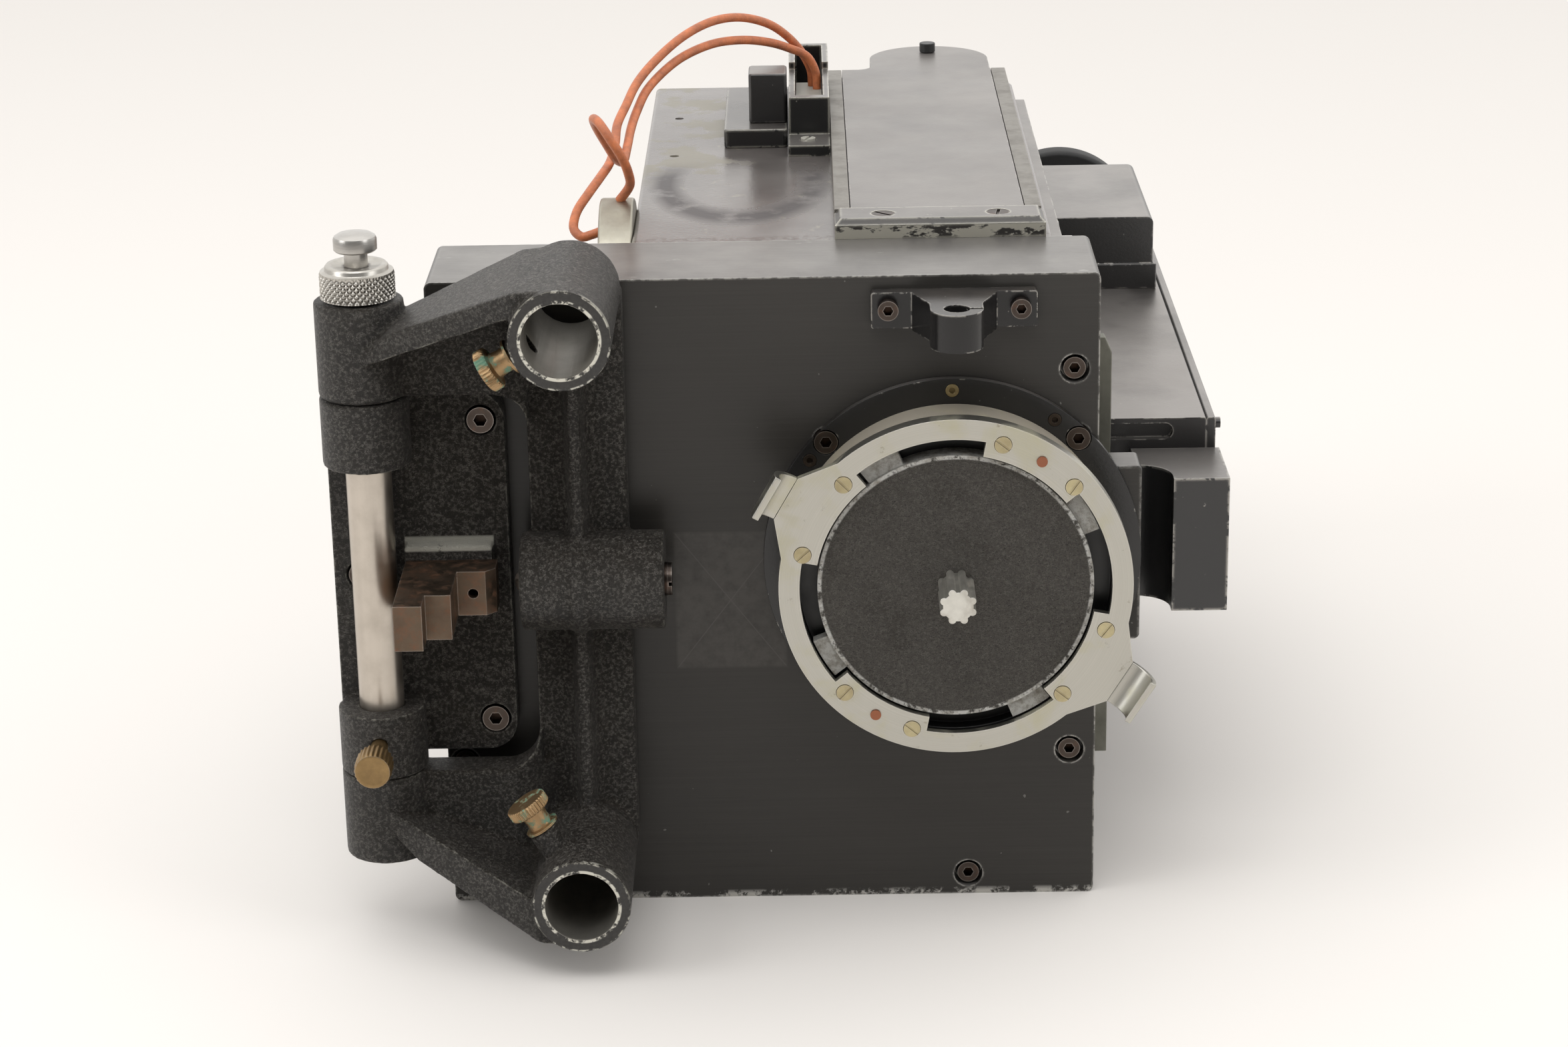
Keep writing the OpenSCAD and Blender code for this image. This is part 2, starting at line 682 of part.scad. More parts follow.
module shutter_disc() color([0.1, 0.1, 0.1]) datum() {
  difference() {
    cyl_y(shutter_x, lens_z, 41, 42.5, shutter_r);
    translate([shutter_x, 0, lens_z]) along_y(40, 44) intersection() {
      sector(120, 100, 260);
      difference() {
        circle(90);
        circle(20);
      }
    }
  }
  cyl_y(shutter_x, lens_z, 38, 46, 9);
  cyl_y(shutter_x, lens_z, 45, shaft_y - bevel_in - 0.5, 4);
  translate([shutter_x, shaft_y - bevel_in, lens_z]) rotate([90, 0, 0])
    cylinder(r1 = bevel_in - 0.6, r2 = bevel_out - 0.6, h = bevel_out - bevel_in);
}

roller_at = [[196, 178], [196, 92]];

module mechanism_plate() color([0.6, 0.6, 0.6]) datum() {
  difference() {
    box(-84, -79, 62, 292, floor_z, plate_h - wall);
    cyl_x(shaft_y, shaft_z, -85, -78, 4.05);
  }
  cyl_x(idler_y, idler_z, -119.5, -84, 6);
  cyl_x(idler_y, idler_z, -130, -119.5, 4);
  for (p = roller_at) cyl_x(p[0], p[1], -79, -32, 3);
}

module aperture_plate() color([0.7, 0.7, 0.68]) datum() difference() {
  box(-76, -28, 57, 61, 98, 168);
  box(lens_x - 11, lens_x + 11, 50, 65, lens_z - 8, lens_z + 8);
}

module movement_block() color([0.45, 0.45, 0.47]) datum() {
  difference() {
    box(-76, -30, 66, 70, 100, 166);
    box(lens_x - 11, lens_x + 11, 60, 75, lens_z - 8, lens_z + 8);
  }
  box(-79, -30, 72, 104, 104, 126);
  for (x = [-74, -36]) box(x, x + 4, 70, 72, 104, 126);
  for (x = [-68, -38]) cyl_y(x, 115, 62, 66, 1);
}

module roller(p) {
  difference() {
    union() {
      cyl_x(p[0], p[1], -70, -34, 8);
      for (x = [-71, -37]) cyl_x(p[0], p[1], x, x + 4, 10);
    }
    cyl_x(p[0], p[1], -72, -32, 3.05);
  }
}

module upper_roller() color([0.2, 0.2, 0.22]) datum() roller(roller_at[0]);

module lower_roller() color([0.2, 0.2, 0.22]) datum() roller(roller_at[1]);

// ---------- door and finder ----------
module film_door() color([0.12, 0.12, 0.12]) datum() difference() {
  union() {
    along_x(-12.9, -8.3) rrect(56, 12, 301, 231, 4);
    box(-12.9, -8.3, 101, 259, 8, 20);
    cyl_y(door_x, door_z, 101, 259, 4.5);
  }
  cyl_y(door_x, door_z, 90, 270, 2.55);
  cyl_x(150, 205, -20, 0, 4.05);
}

module door_pin() color([0.7, 0.7, 0.7]) datum() cyl_y(door_x, door_z, 60, 296, 2.5);

module door_latch() color([0.5, 0.5, 0.5]) datum() {
  cyl_x(150, 205, -16, 0, 4);
  cyl_x(150, 205, -8, -4, 11);
  along_x(-4, 2) translate([150, 205]) rrect(-11, -3, 11, 3, 2.5);
}

finder_top = 165.7;
finder_bottom = 103;

module finder_housing() color([0.13, 0.13, 0.13]) datum() difference() {
  along_y(55.3, 323) rrect(-8.3, finder_bottom, 44.4, finder_top, 1);
  box(-3, 39, 62, 318, 109, 160);
  along_y(50, 58) rrect(0, 157.6, 32, 163.6, 2.9);
  cyl_y(10, 140, 300, 330, 15);
  cyl_y(30, 128, 50, 64, 9);
}

module finder_side_cover() color([0.14, 0.14, 0.14]) datum() {
  along_y(55.3, 323) rrect(44.4, finder_bottom, 47.8, finder_top, 1);
  cyl_x(60.5, 162, 47.5, 50, 2);
}

module finder_front() color([0.12, 0.12, 0.12]) datum() difference() {
  along_z(finder_bottom, 154) {
    translate([29, 20]) square([20.3, 35.3]);
    translate([16.5, 36]) square([20, 19.3]);
    translate([17, 24]) difference() {
      square([13, 13]);
      circle(12);
    }
  }
  cyl_y(38.5, 128.5, 24, 56, 7);
}

module finder_back_box() color([0.13, 0.13, 0.14]) datum() difference() {
  union() {
    box(-8, 42.6, 229.7, 322, finder_top, 176.2);
    along_y(230.5, 321) rrect(-7, 170, 41.2, 196.2, 3);
  }
  cyl_y(10, 180, 300, 330, 10);
}

module eyepiece_tube() color([0.15, 0.15, 0.15]) datum() difference() {
  cyl_y(10, 164, 323, 337.2, 28);
  cyl_y(10, 164, 322, 338, 17);
}

module eyecup() color([0.08, 0.08, 0.08]) datum() difference() {
  cyl_y(10, 164, 337.5, 349, 34);
  cyl_y(10, 164, 337, 350, 19);
}

// ---------- motor wires ----------
wire_d = 3.5;

// Directions along and across a path at its i-th point
function unit(v) = v / norm(v);
function tangent(p, i) = unit(p[min(i + 1, len(p) - 1)] - p[max(i - 1, 0)]);
function side(t) = unit(cross(t, abs(t[2]) > 0.9 ? [1, 0, 0] : [0, 0, 1]));

// Catmull-Rom point between p[i] and p[i + 1]
function ends(p, i) = p[max(0, min(len(p) - 1, i))];
function smooth(p, i, u) = 0.5 * (2 * p[i] + u * (p[i + 1] - ends(p, i - 1))
  + u * u * (2 * ends(p, i - 1) - 5 * p[i] + 4 * p[i + 1] - ends(p, i + 2))
  + u * u * u * (3 * p[i] - ends(p, i - 1) - 3 * p[i + 1] + ends(p, i + 2)));
function path(p) = concat([for (i = [0 : len(p) - 2], u = [0, 0.5]) smooth(p, i, u)], [p[len(p) - 1]]);

module tube(p, r) {
  n = len(p);
  points = [for (i = [0 : n - 1])
    let (t = tangent(p, i), s = side(t), b = cross(t, s))
    for (k = [0 : 7]) p[i] + r * (cos(k * 45) * s + sin(k * 45) * b)];
  faces = concat([[for (k = [7 : -1 : 0]) k]],
    [for (i = [0 : n - 2], k = [0 : 7])
      [i * 8 + k, i * 8 + (k + 1) % 8, (i + 1) * 8 + (k + 1) % 8, (i + 1) * 8 + k]],
    [[for (k = [0 : 7]) (n - 1) * 8 + k]]);
  polyhedron(points, faces, convexity = 6);
}

wire_left = [[-99, 246, 250], [-99.5, 245, 257], [-103, 241, 265], [-109, 236, 273],
  [-117, 228, 280], [-128, 216, 285], [-139, 203, 286], [-150, 189, 283], [-160, 175, 277],
  [-167, 162, 271], [-171, 149, 265], [-174, 138, 260], [-174.5, 127, 255], [-176, 115, 251],
  [-179, 103, 248.5], [-183, 92, 245], [-187, 83, 240.5], [-188, 76, 236], [-185, 73, 233.5],
  [-181.5, 73.5, 234], [-178.4, 74, 235]];
wire_right = [[-97, 240, 250], [-97.5, 240, 257], [-101, 238, 264], [-108, 233, 268.5],
  [-116, 226, 272.5], [-126, 215, 276], [-137, 203, 277.5], [-147, 190, 276.5], [-155, 179, 273.5],
  [-163, 165, 268], [-167, 153, 262], [-169, 142, 257.5], [-170, 130, 253.5], [-171, 117, 251],
  [-173, 104, 255], [-176, 95, 263], [-179, 88, 271], [-179.5, 80, 276], [-177, 72.5, 276],
  [-173, 68.5, 271], [-169, 69, 264], [-167, 73, 257], [-167, 78.5, 251], [-171, 82, 244.8]];

module motor_wire_left() color([0.8, 0.42, 0.26]) datum() tube(path(wire_left), wire_d / 2);

module motor_wire_right() color([0.8, 0.42, 0.26]) datum() tube(path(wire_right), wire_d / 2);

front_plate();
side_ear();
lens_flange();
mount_barrel();
lock_ring();
ring_screws();
finger_tabs();
body_cap();
spline_knob();
cap_screws();
flange_pins();
hook_bracket();
hinge_base();
hinge_rod();
knuckle_screw();
latch_block();
arm_column();
upper_rod_arm();
lower_rod_arm();
plunger_ball();
plunger_spring();
plunger_screw();
upper_thumbscrew();
lower_thumbscrew();
hinge_nut();
pull_button();
body_shell();
body_top();
side_flange();
stop_bar();
stop_bar_screws();
port_rails();
port_cover();
cover_knob();
connector_plate();
connector_socket();
terminal_box();
terminal_strip();
motor_housing();
motor_rotor();
idler_gear();
sprocket_shaft();
film_sprocket();
shutter_disc();
mechanism_plate();
aperture_plate();
movement_block();
upper_roller();
lower_roller();
film_door();
door_pin();
door_latch();
finder_housing();
finder_side_cover();
finder_front();
finder_back_box();
eyepiece_tube();
eyecup();
motor_wire_left();
motor_wire_right();
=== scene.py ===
"""Studio 35 mm motion-picture film camera body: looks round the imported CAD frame."""
import json
import math

import bmesh
import bpy
from mathutils import Matrix, Vector


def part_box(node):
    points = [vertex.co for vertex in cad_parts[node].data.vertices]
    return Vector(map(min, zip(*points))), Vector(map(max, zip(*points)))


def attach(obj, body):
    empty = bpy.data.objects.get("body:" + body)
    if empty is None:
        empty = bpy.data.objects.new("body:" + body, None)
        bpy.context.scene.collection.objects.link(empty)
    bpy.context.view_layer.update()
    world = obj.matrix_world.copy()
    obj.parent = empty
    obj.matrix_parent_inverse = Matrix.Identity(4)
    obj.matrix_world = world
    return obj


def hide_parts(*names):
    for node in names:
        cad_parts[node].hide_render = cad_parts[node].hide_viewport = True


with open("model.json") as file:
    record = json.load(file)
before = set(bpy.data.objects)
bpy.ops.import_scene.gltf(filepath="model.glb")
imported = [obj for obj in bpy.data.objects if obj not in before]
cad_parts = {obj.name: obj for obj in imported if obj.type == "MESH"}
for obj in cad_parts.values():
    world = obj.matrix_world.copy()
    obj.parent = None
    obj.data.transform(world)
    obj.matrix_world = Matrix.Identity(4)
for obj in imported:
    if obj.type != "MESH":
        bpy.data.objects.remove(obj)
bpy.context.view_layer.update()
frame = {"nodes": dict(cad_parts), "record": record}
nodes = frame["nodes"]
MM = 0.001


# ---------- places, from the frame ----------
def low(node):
    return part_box(node)[0]


def high(node):
    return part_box(node)[1]


def middle(node):
    return (low(node) + high(node)) / 2


BODY_OF = {n: b for b, group in frame["record"]["behaviour"]["bodies"].items() for n in group}
SLOT_OF = {p["node"]: p["material_slot"] for p in frame["record"]["subparts"]}
LENS = middle("mount_barrel")
HINGE = middle("hinge_rod")
SOCKET_X = high("arm_column").x - 0.0304
SOCKET_R = 0.0173
SOCKETS_Z = (high("upper_rod_arm").z - SOCKET_R, low("lower_rod_arm").z + SOCKET_R)
SOCKET_FRONT = low("upper_rod_arm").y
SOCKET_BORE = 0.0127
SOCKET_EDGE = 0.0172

# ---------- camera ----------
CAMERA_PLACE = (-0.01301, -1.36092, 0.56945)
CAMERA_PITCH = 19.634
CAMERA_YAW = 0.4545
CAMERA_ROLL = -1.0396
CAMERA_LENS = 81.076

camera_data = bpy.data.cameras.new("camera")
camera_data.sensor_width = 36.0
camera_data.lens = CAMERA_LENS
camera_data.clip_end = 20.0
camera = bpy.data.objects.new("camera", camera_data)
camera.matrix_world = (
    Matrix.Translation(CAMERA_PLACE)
    @ Matrix.Rotation(math.radians(CAMERA_YAW), 4, "Z")
    @ Matrix.Rotation(math.radians(90 - CAMERA_PITCH), 4, "X")
    @ Matrix.Rotation(math.radians(CAMERA_ROLL), 4, "Z")
)
bpy.context.scene.collection.objects.link(camera)
bpy.context.scene.camera = camera


# ---------- node helpers for materials ----------
class Shade:
    """A material's node tree with short calls for the nodes used here."""

    def __init__(self, name):
        self.mat = bpy.data.materials.new(name)
        self.mat.use_nodes = True
        self.tree = self.mat.node_tree
        self.bsdf = self.tree.nodes["Principled BSDF"]
        self.place = self.tree.nodes.new("ShaderNodeTexCoord").outputs["Object"]

    def feed(self, socket, value):
        if isinstance(value, bpy.types.NodeSocket):
            self.tree.links.new(value, socket)
        else:
            socket.default_value = value

    def math(self, operation, a, b=0.0, clamp=False):
        made = self.tree.nodes.new("ShaderNodeMath")
        made.operation = operation
        made.use_clamp = clamp
        self.feed(made.inputs[0], a)
        self.feed(made.inputs[1], b)
        return made.outputs[0]

    def times(self, *values):
        """The product of several masks."""
        total = values[0]
        for value in values[1:]:
            total = self.math("MULTIPLY", total, value)
        return total

    def most(self, *values):
        """The largest of several masks, kept between 0 and 1."""
        total = values[0]
        for value in values[1:]:
            total = self.math("MAXIMUM", total, value, clamp=True)
        return total

    def stretch(self, scale):
        made = self.tree.nodes.new("ShaderNodeMapping")
        self.feed(made.inputs["Vector"], self.place)
        made.inputs["Scale"].default_value = scale
        return made.outputs[0]

    def noise(self, scale, detail=4.0, rough=0.6, place=None, twist=0.0):
        made = self.tree.nodes.new("ShaderNodeTexNoise")
        self.feed(made.inputs["Vector"], place or self.place)
        made.inputs["Scale"].default_value = scale
        made.inputs["Detail"].default_value = detail
        made.inputs["Roughness"].default_value = rough
        made.inputs["Distortion"].default_value = twist
        return made.outputs["Fac"]

    def ramp(self, value, low_end, high_end):
        """0 at low_end, 1 at high_end."""
        made = self.tree.nodes.new("ShaderNodeMapRange")
        self.feed(made.inputs["Value"], value)
        made.inputs["From Min"].default_value = low_end
        made.inputs["From Max"].default_value = high_end
        return made.outputs["Result"]

    def mix(self, factor, a, b):
        """A colour between a and b."""
        made = self.tree.nodes.new("ShaderNodeMix")
        made.data_type = "RGBA"
        self.feed(made.inputs["Factor"], factor)
        self.feed(made.inputs[6], self.colour(a))
        self.feed(made.inputs[7], self.colour(b))
        return made.outputs[2]

    def colour(self, value):
        return value if isinstance(value, bpy.types.NodeSocket) else (*value, 1.0)

    def blend(self, factor, a, b):
        """A number between a and b."""
        made = self.tree.nodes.new("ShaderNodeMix")
        self.feed(made.inputs[0], factor)
        self.feed(made.inputs[2], a)
        self.feed(made.inputs[3], b)
        return made.outputs[0]

    def axes(self):
        """The surface point's x, y and z."""
        split = self.tree.nodes.new("ShaderNodeSeparateXYZ")
        self.feed(split.inputs[0], self.place)
        return split.outputs

    def lens_radius(self):
        return self.distance(LENS.x, LENS.z)

    def distance(self, axis_x, axis_z):
        """Distance from an axis that points along y."""
        x, _, z = self.axes()
        across = self.math("SUBTRACT", x, axis_x)
        rise = self.math("SUBTRACT", z, axis_z)
        return self.math("SQRT", self.math("ADD", self.times(across, across), self.times(rise, rise)))

    def near(self, value, centre, reach, soft):
        """1 where value is within reach of centre, fading over soft."""
        away = self.math("ABSOLUTE", self.math("SUBTRACT", value, centre))
        return self.ramp(away, reach + soft, reach)

    def up(self):
        """How far the surface faces up, from -1 to 1."""
        geometry = self.tree.nodes.new("ShaderNodeNewGeometry")
        split = self.tree.nodes.new("ShaderNodeSeparateXYZ")
        self.feed(split.inputs[0], geometry.outputs["Normal"])
        return split.outputs[2]

    def top_sheen(self, amount=1.0):
        """Mask of the surfaces that face straight up, made patchy by noise, for a painted highlight and
        a satin metallic sheen.
        """
        patchy = self.ramp(self.noise(26, 6), 0.0, 0.75)
        return self.times(self.ramp(self.up(), 0.8, 0.98), patchy, amount)

    def edges(self, radius, low_end=0.02, high_end=0.2):
        """Near 1 at sharp convex and concave edges."""
        bevel = self.tree.nodes.new("ShaderNodeBevel")
        bevel.samples = 4
        bevel.inputs["Radius"].default_value = radius
        geometry = self.tree.nodes.new("ShaderNodeNewGeometry")
        dot = self.tree.nodes.new("ShaderNodeVectorMath")
        dot.operation = "DOT_PRODUCT"
        self.feed(dot.inputs[0], bevel.outputs[0])
        self.feed(dot.inputs[1], geometry.outputs["Normal"])
        return self.ramp(self.math("SUBTRACT", 1.0, dot.outputs["Value"]), low_end, high_end)

    def bump(self, height, strength, distance=0.001):
        made = self.tree.nodes.new("ShaderNodeBump")
        made.inputs["Strength"].default_value = strength
        made.inputs["Distance"].default_value = distance
        self.feed(made.inputs["Height"], height)
        self.feed(self.bsdf.inputs["Normal"], made.outputs[0])

    def finish(self, colour, rough, metallic=0.0, specular=0.5):
        self.feed(self.bsdf.inputs["Base Color"], self.colour(colour))
        self.feed(self.bsdf.inputs["Roughness"], rough)
        self.feed(self.bsdf.inputs["Metallic"], metallic)
        self.bsdf.inputs["Specular IOR Level"].default_value = specular
        return self.mat


def shades(base, low_end=0.72, high_end=1.3):
    """A darker and a lighter version of a colour."""
    return [min(1.0, c * low_end) for c in base], [min(1.0, c * high_end) for c in base]


# ---------- materials ----------
CREAM = (0.62, 0.6, 0.52)
BARE_METAL = (0.5, 0.48, 0.44)
DUST = (0.17, 0.145, 0.12)
RUST = (0.19, 0.08, 0.04)
# Colour of the painted highlight on faces that look straight up
PAINTED_TOP_HIGHLIGHT = (0.3, 0.28, 0.265)

# Tape residue on the plate's front: its middle and half its width and height
TAPE_X, TAPE_Z = -0.042, 0.1175
TAPE_HALF_W, TAPE_HALF_H = 0.0192, 0.0253
SCRIBE_HALF_W = 0.00012
# The scorch mark's ellipse on the body's top
SCORCH_X, SCORCH_Y = -0.038, -0.04
SCORCH_HALF_W, SCORCH_HALF_L = 0.03, 0.055
# The joint between the body's top and the front plate
JOINT_Y = -0.123
# The raised pad's chipped lower edge on the hinge base
PAD_X, PAD_Z, PAD_HALF_W = -0.141, 0.1455, 0.0155
PAD_FRONT = -0.1852
RIVET_CIRCLE = 0.055
RIVET_R = 0.0021
RIVET_ANGLES = (57.3, 238.9)
# Radius of the cap's painted disc, which the bare lugs stand out from
CAP_PAINT_R = 0.0483
# Radius inside which the lens barrel's bore is near-black, a painted shade
BARREL_BORE_R = 0.0575


def on_lens_circle(radius, degrees):
    """The x and z of a point on a circle round the lens axis."""
    angle = math.radians(degrees)
    return LENS.x + radius * math.cos(angle), LENS.z + radius * math.sin(angle)


RIVETS = [on_lens_circle(RIVET_CIRCLE, degrees) for degrees in RIVET_ANGLES]


def worn_enamel(name, base, rough, wear, specks=0.3, bare=BARE_METAL, specular=0.5, edge=0.0009,
        dust=0.3, low_chips=None, top_sheen=0.75):
    """Smooth enamel with chipped edges, faint mottling, a little dust on top and a painted highlight on
    faces that look straight up.
    """
    s = Shade(name)
    body = s.mix(s.noise(55, 6), *shades(base))
    dusty = s.times(s.ramp(s.up(), 0.4, 0.95), s.ramp(s.noise(38, 5), 0.3, 0.8), dust)
    body = s.mix(dusty, body, DUST)
    # Faces that look straight up are lightened: a painted highlight; the same mask makes them more
    # metallic.
    sheen = s.top_sheen(top_sheen)
    body = s.mix(sheen, body, PAINTED_TOP_HIGHLIGHT)
    chips = s.times(s.edges(edge, 0.01, 0.12), s.ramp(s.noise(170, 5, 0.7), 0.62 - wear, 0.66 - wear))
    flecks = s.times(s.ramp(s.noise(330, 2), 0.74, 0.78), specks)
    worn = s.most(chips, flecks)
    if low_chips:
        below, front = low_chips
        _, y, z = s.axes()
        band = s.times(s.ramp(z, below, below - 0.0004), s.ramp(y, front + 0.0004, front + 0.0002))
        ragged = s.ramp(s.noise(210, 5, 0.7, s.stretch((0.4, 1, 1))), 0.44, 0.48)
        worn = s.most(worn, s.times(band, ragged))
    s.bump(s.noise(900, 2), 0.05)
    smear = s.noise(34, 4)
    return s.finish(s.mix(worn, body, bare), s.blend(smear, rough * 0.8, rough * 1.3),
        s.most(s.times(worn, 0.7), s.times(sheen, 0.75)), specular=specular)


def brushed_plate(name):
    """Satin anodised plate with level brushing, tape residue, nicks, bare edges and painted highlights
    on its top and along its edges.
    """
    s = Shade(name)
    x, _, z = s.axes()
    lines = s.noise(1.0, 3, 0.7, s.stretch((18, 900, 1500)))
    body = s.mix(lines, (0.025, 0.0238, 0.022), (0.042, 0.0402, 0.037))
    body = s.mix(s.times(s.noise(18, 5), 0.35), body, (0.05, 0.043, 0.037))
    tape = s.times(s.near(x, TAPE_X, TAPE_HALF_W, 0.0012), s.near(z, TAPE_Z, TAPE_HALF_H, 0.0012))
    body = s.mix(s.times(tape, s.ramp(s.noise(260, 5), 0.2, 0.6), 0.7), body, (0.075, 0.07, 0.064))
    slope = TAPE_HALF_W / TAPE_HALF_H
    rise = s.times(s.math("SUBTRACT", z, TAPE_Z), slope)
    across = s.math("SUBTRACT", x, TAPE_X)
    scribes = s.most(s.near(s.math("ADD", across, rise), 0, SCRIBE_HALF_W, 0.0002),
        s.near(s.math("SUBTRACT", across, rise), 0, SCRIBE_HALF_W, 0.0002))
    body = s.mix(s.times(scribes, tape, 0.6), body, (0.09, 0.085, 0.08))
    # Faces that look straight up are lightened: a painted highlight; the same mask makes them more
    # metallic.
    sheen = s.top_sheen(0.95)
    body = s.mix(sheen, body, (0.3, 0.285, 0.27))
    # Chips in places, and every edge evenly lightened towards bare metal: a painted edge highlight.
    edge = s.edges(0.0012, 0.005, 0.1)
    chips = s.most(s.times(edge, s.ramp(s.noise(240, 6, 0.7), 0.44, 0.52)), s.times(edge, 0.25))
    low_edge = s.times(s.ramp(z, 0.003, 0.0012), s.ramp(s.noise(140, 6, 0.75), 0.5, 0.56))
    scratched = s.ramp(s.noise(90, 4, 0.7, s.stretch((0.35, 1, 3))), 0.68, 0.71)
    nicks = s.times(scratched, s.ramp(s.up(), 0.3, 0.9), 0.5)
    flecks = s.times(s.ramp(s.noise(300, 1), 0.8, 0.82), 0.25)
    worn = s.most(chips, flecks, nicks, low_edge)
    s.bump(lines, 0.04)
    return s.finish(s.mix(worn, body, (0.5, 0.49, 0.46)), s.blend(lines, 0.25, 0.36),
        s.most(s.times(worn, 0.8), s.times(sheen, 0.8)), specular=0.28)


def top_enamel(name):
    """Glossy body top: grey mottling, a satin metallic sheen where it faces up, bare patches and a dark
    curved scorch mark.
    """
    s = Shade(name)
    x, y, _ = s.axes()
    body = s.mix(s.noise(40, 6), (0.09, 0.078, 0.074), (0.23, 0.212, 0.2))
    at_back_left = s.times(s.ramp(x, -0.03, -0.045), s.ramp(y, -0.05, -0.02))
    patch = s.times(s.ramp(s.noise(46, 5, 0.55), 0.5, 0.56), at_back_left)
    freckles = s.ramp(s.noise(150, 3, 0.6, s.stretch((1, 0.6, 1))), 0.66, 0.69)
    body = s.mix(s.most(s.times(patch, 0.8), s.times(freckles, 0.5)), body, (0.27, 0.25, 0.2))
    aside = s.times(s.math("SUBTRACT", x, SCORCH_X), 1 / SCORCH_HALF_W)
    along = s.times(s.math("SUBTRACT", y, SCORCH_Y), 1 / SCORCH_HALF_L)
    ring = s.math("SQRT", s.math("ADD", s.times(aside, aside), s.times(along, along)))
    front_half = s.ramp(y, -0.005, -0.03)
    scorch = s.times(s.near(ring, 0.95, 0.06, 0.2), front_half, s.ramp(s.noise(70, 5), 0.28, 0.5))
    body = s.mix(s.times(scorch, 0.97), body, (0.012, 0.005, 0.006))
    grime = s.times(s.near(y, JOINT_Y, 0.001, 0.004), s.ramp(s.noise(420, 3), 0.45, 0.6))
    body = s.mix(s.times(grime, 0.7), body, (0.05, 0.02, 0.01))
    chips = s.times(s.edges(0.0009), s.ramp(s.noise(170, 5, 0.7), 0.5, 0.54))
    s.bump(s.noise(600, 3), 0.06)
    rough = s.blend(s.most(scorch, patch), 0.24, 0.42)
    sheen = s.times(s.top_sheen(), s.math("SUBTRACT", 1.0, scorch))
    metallic = s.most(s.times(chips, 0.6), s.times(sheen, 0.6))
    return s.finish(s.mix(chips, body, BARE_METAL), rough, metallic, specular=0.9)


def crackle(name, base=(0.034, 0.03, 0.0255), scale=1400, glint_strength=0.95, beyond=None, sockets=False,
        pad=False):
    """Wrinkle enamel on a casting: painted glints on its ridges, painted shade in the valleys between
    them, and brown dust, mostly on faces that look up.

    It is bare steel beyond a radius from the lens axis, has bare bores and chipped rims
    at the rod sockets, or has the chipped edge of the hinge base's pad.
    """
    s = Shade(name)
    x, y, z = s.axes()
    flat = s.stretch((1, 1, 1.8))
    wrinkle = s.noise(scale, 2, 0.6, flat, 1.2)
    off_middle = s.math("ABSOLUTE", s.math("MULTIPLY", s.math("SUBTRACT", wrinkle, 0.5), 6.0))
    ridge = s.math("SUBTRACT", 1.0, off_middle)
    valley = s.ramp(ridge, 0.7, 0.1)
    grain = s.noise(scale * 2.2, 2)
    broad = s.noise(55, 6)
    dust = s.times(s.ramp(s.up(), -0.2, 0.9), s.ramp(broad, 0.2, 0.7))
    body = s.mix(s.times(dust, 0.8), base, (0.055, 0.045, 0.035))
    body = s.mix(s.times(s.ramp(broad, 0.55, 0.7), 0.5), body, (0.05, 0.042, 0.032))
    # The valleys are darkened nearly to black: painted shade in the wrinkles.
    body = s.mix(s.times(valley, 0.75), body, (0.008, 0.0071, 0.0062))
    # Pale colour on the ridges: painted glints.
    glint = s.times(s.ramp(ridge, 0.5, 0.9), s.ramp(s.noise(scale * 0.6, 2), 0.44, 0.62), glint_strength)
    body = s.mix(glint, body, (0.24, 0.225, 0.2))
    chips = s.times(s.edges(0.0011), s.ramp(s.noise(230, 6, 0.75), 0.47, 0.53))
    shown = s.mix(chips, body, CREAM)
    metallic = s.times(chips, 0.5)
    relief = s.math("ADD", ridge, s.times(grain, 0.5))
    rough = s.blend(grain, 0.28, 0.5)
    if beyond:
        bare = s.ramp(s.lens_radius(), beyond, beyond + 0.0002)
        steel = s.mix(s.ramp(s.noise(300, 5, 0.7), 0.45, 0.7), (0.85, 0.84, 0.8), (0.4, 0.36, 0.3))
        ragged = s.times(s.near(s.lens_radius(), beyond - 0.0006, 0.0005, 0.0005),
            s.ramp(s.noise(420, 5, 0.7), 0.4, 0.5))
        bare = s.most(bare, ragged)
        shown = s.mix(bare, shown, steel)
        metallic = s.most(metallic, s.times(bare, 0.35))
    if sockets:
        radius = s.math("MINIMUM", *[s.distance(SOCKET_X, place) for place in SOCKETS_Z])
        front = s.ramp(y, SOCKET_FRONT + 0.0022, SOCKET_FRONT + 0.0012)
        face = s.times(front, s.ramp(radius, SOCKET_EDGE, SOCKET_EDGE - 0.0004))
        turned = s.mix(s.noise(700, 3), (0.012, 0.0115, 0.011), (0.05, 0.047, 0.044))
        shown = s.mix(face, shown, turned)
        relief = s.times(relief, s.math("SUBTRACT", 1.0, face))
        nicked = s.ramp(s.noise(330, 5, 0.7), 0.43, 0.52)
        inner_rim = s.times(s.near(radius, SOCKET_BORE + 0.0006, 0.0005, 0.0003), nicked)
        outer_rim = s.times(s.near(radius, SOCKET_EDGE, 0.0004, 0.0004),
            s.ramp(s.noise(180, 5, 0.7), 0.5, 0.56))
        rims = s.most(inner_rim, outer_rim)
        shown = s.mix(s.times(rims, front), shown, CREAM)
        bare = s.ramp(radius, SOCKET_BORE + 0.00025, SOCKET_BORE + 0.0001)
        dull = s.mix(s.noise(120, 5), (0.3, 0.285, 0.25), (0.48, 0.46, 0.42))
        shown = s.mix(bare, shown, dull)
        metallic = s.most(metallic, s.times(bare, 0.85))
        relief = s.times(relief, s.math("SUBTRACT", 1.0, bare))
    if pad:
        ledge = s.times(s.near(z, PAD_Z, 0.0014, 0.0006), s.ramp(y, PAD_FRONT + 0.0006, PAD_FRONT),
            s.near(x, PAD_X, PAD_HALF_W, 0.0005), s.ramp(s.noise(260, 5, 0.7), 0.3, 0.36))
        shown = s.mix(ledge, shown, CREAM)
    s.bump(relief, 0.9, 0.0008)
    return s.finish(shown, rough, metallic, specular=0.42)


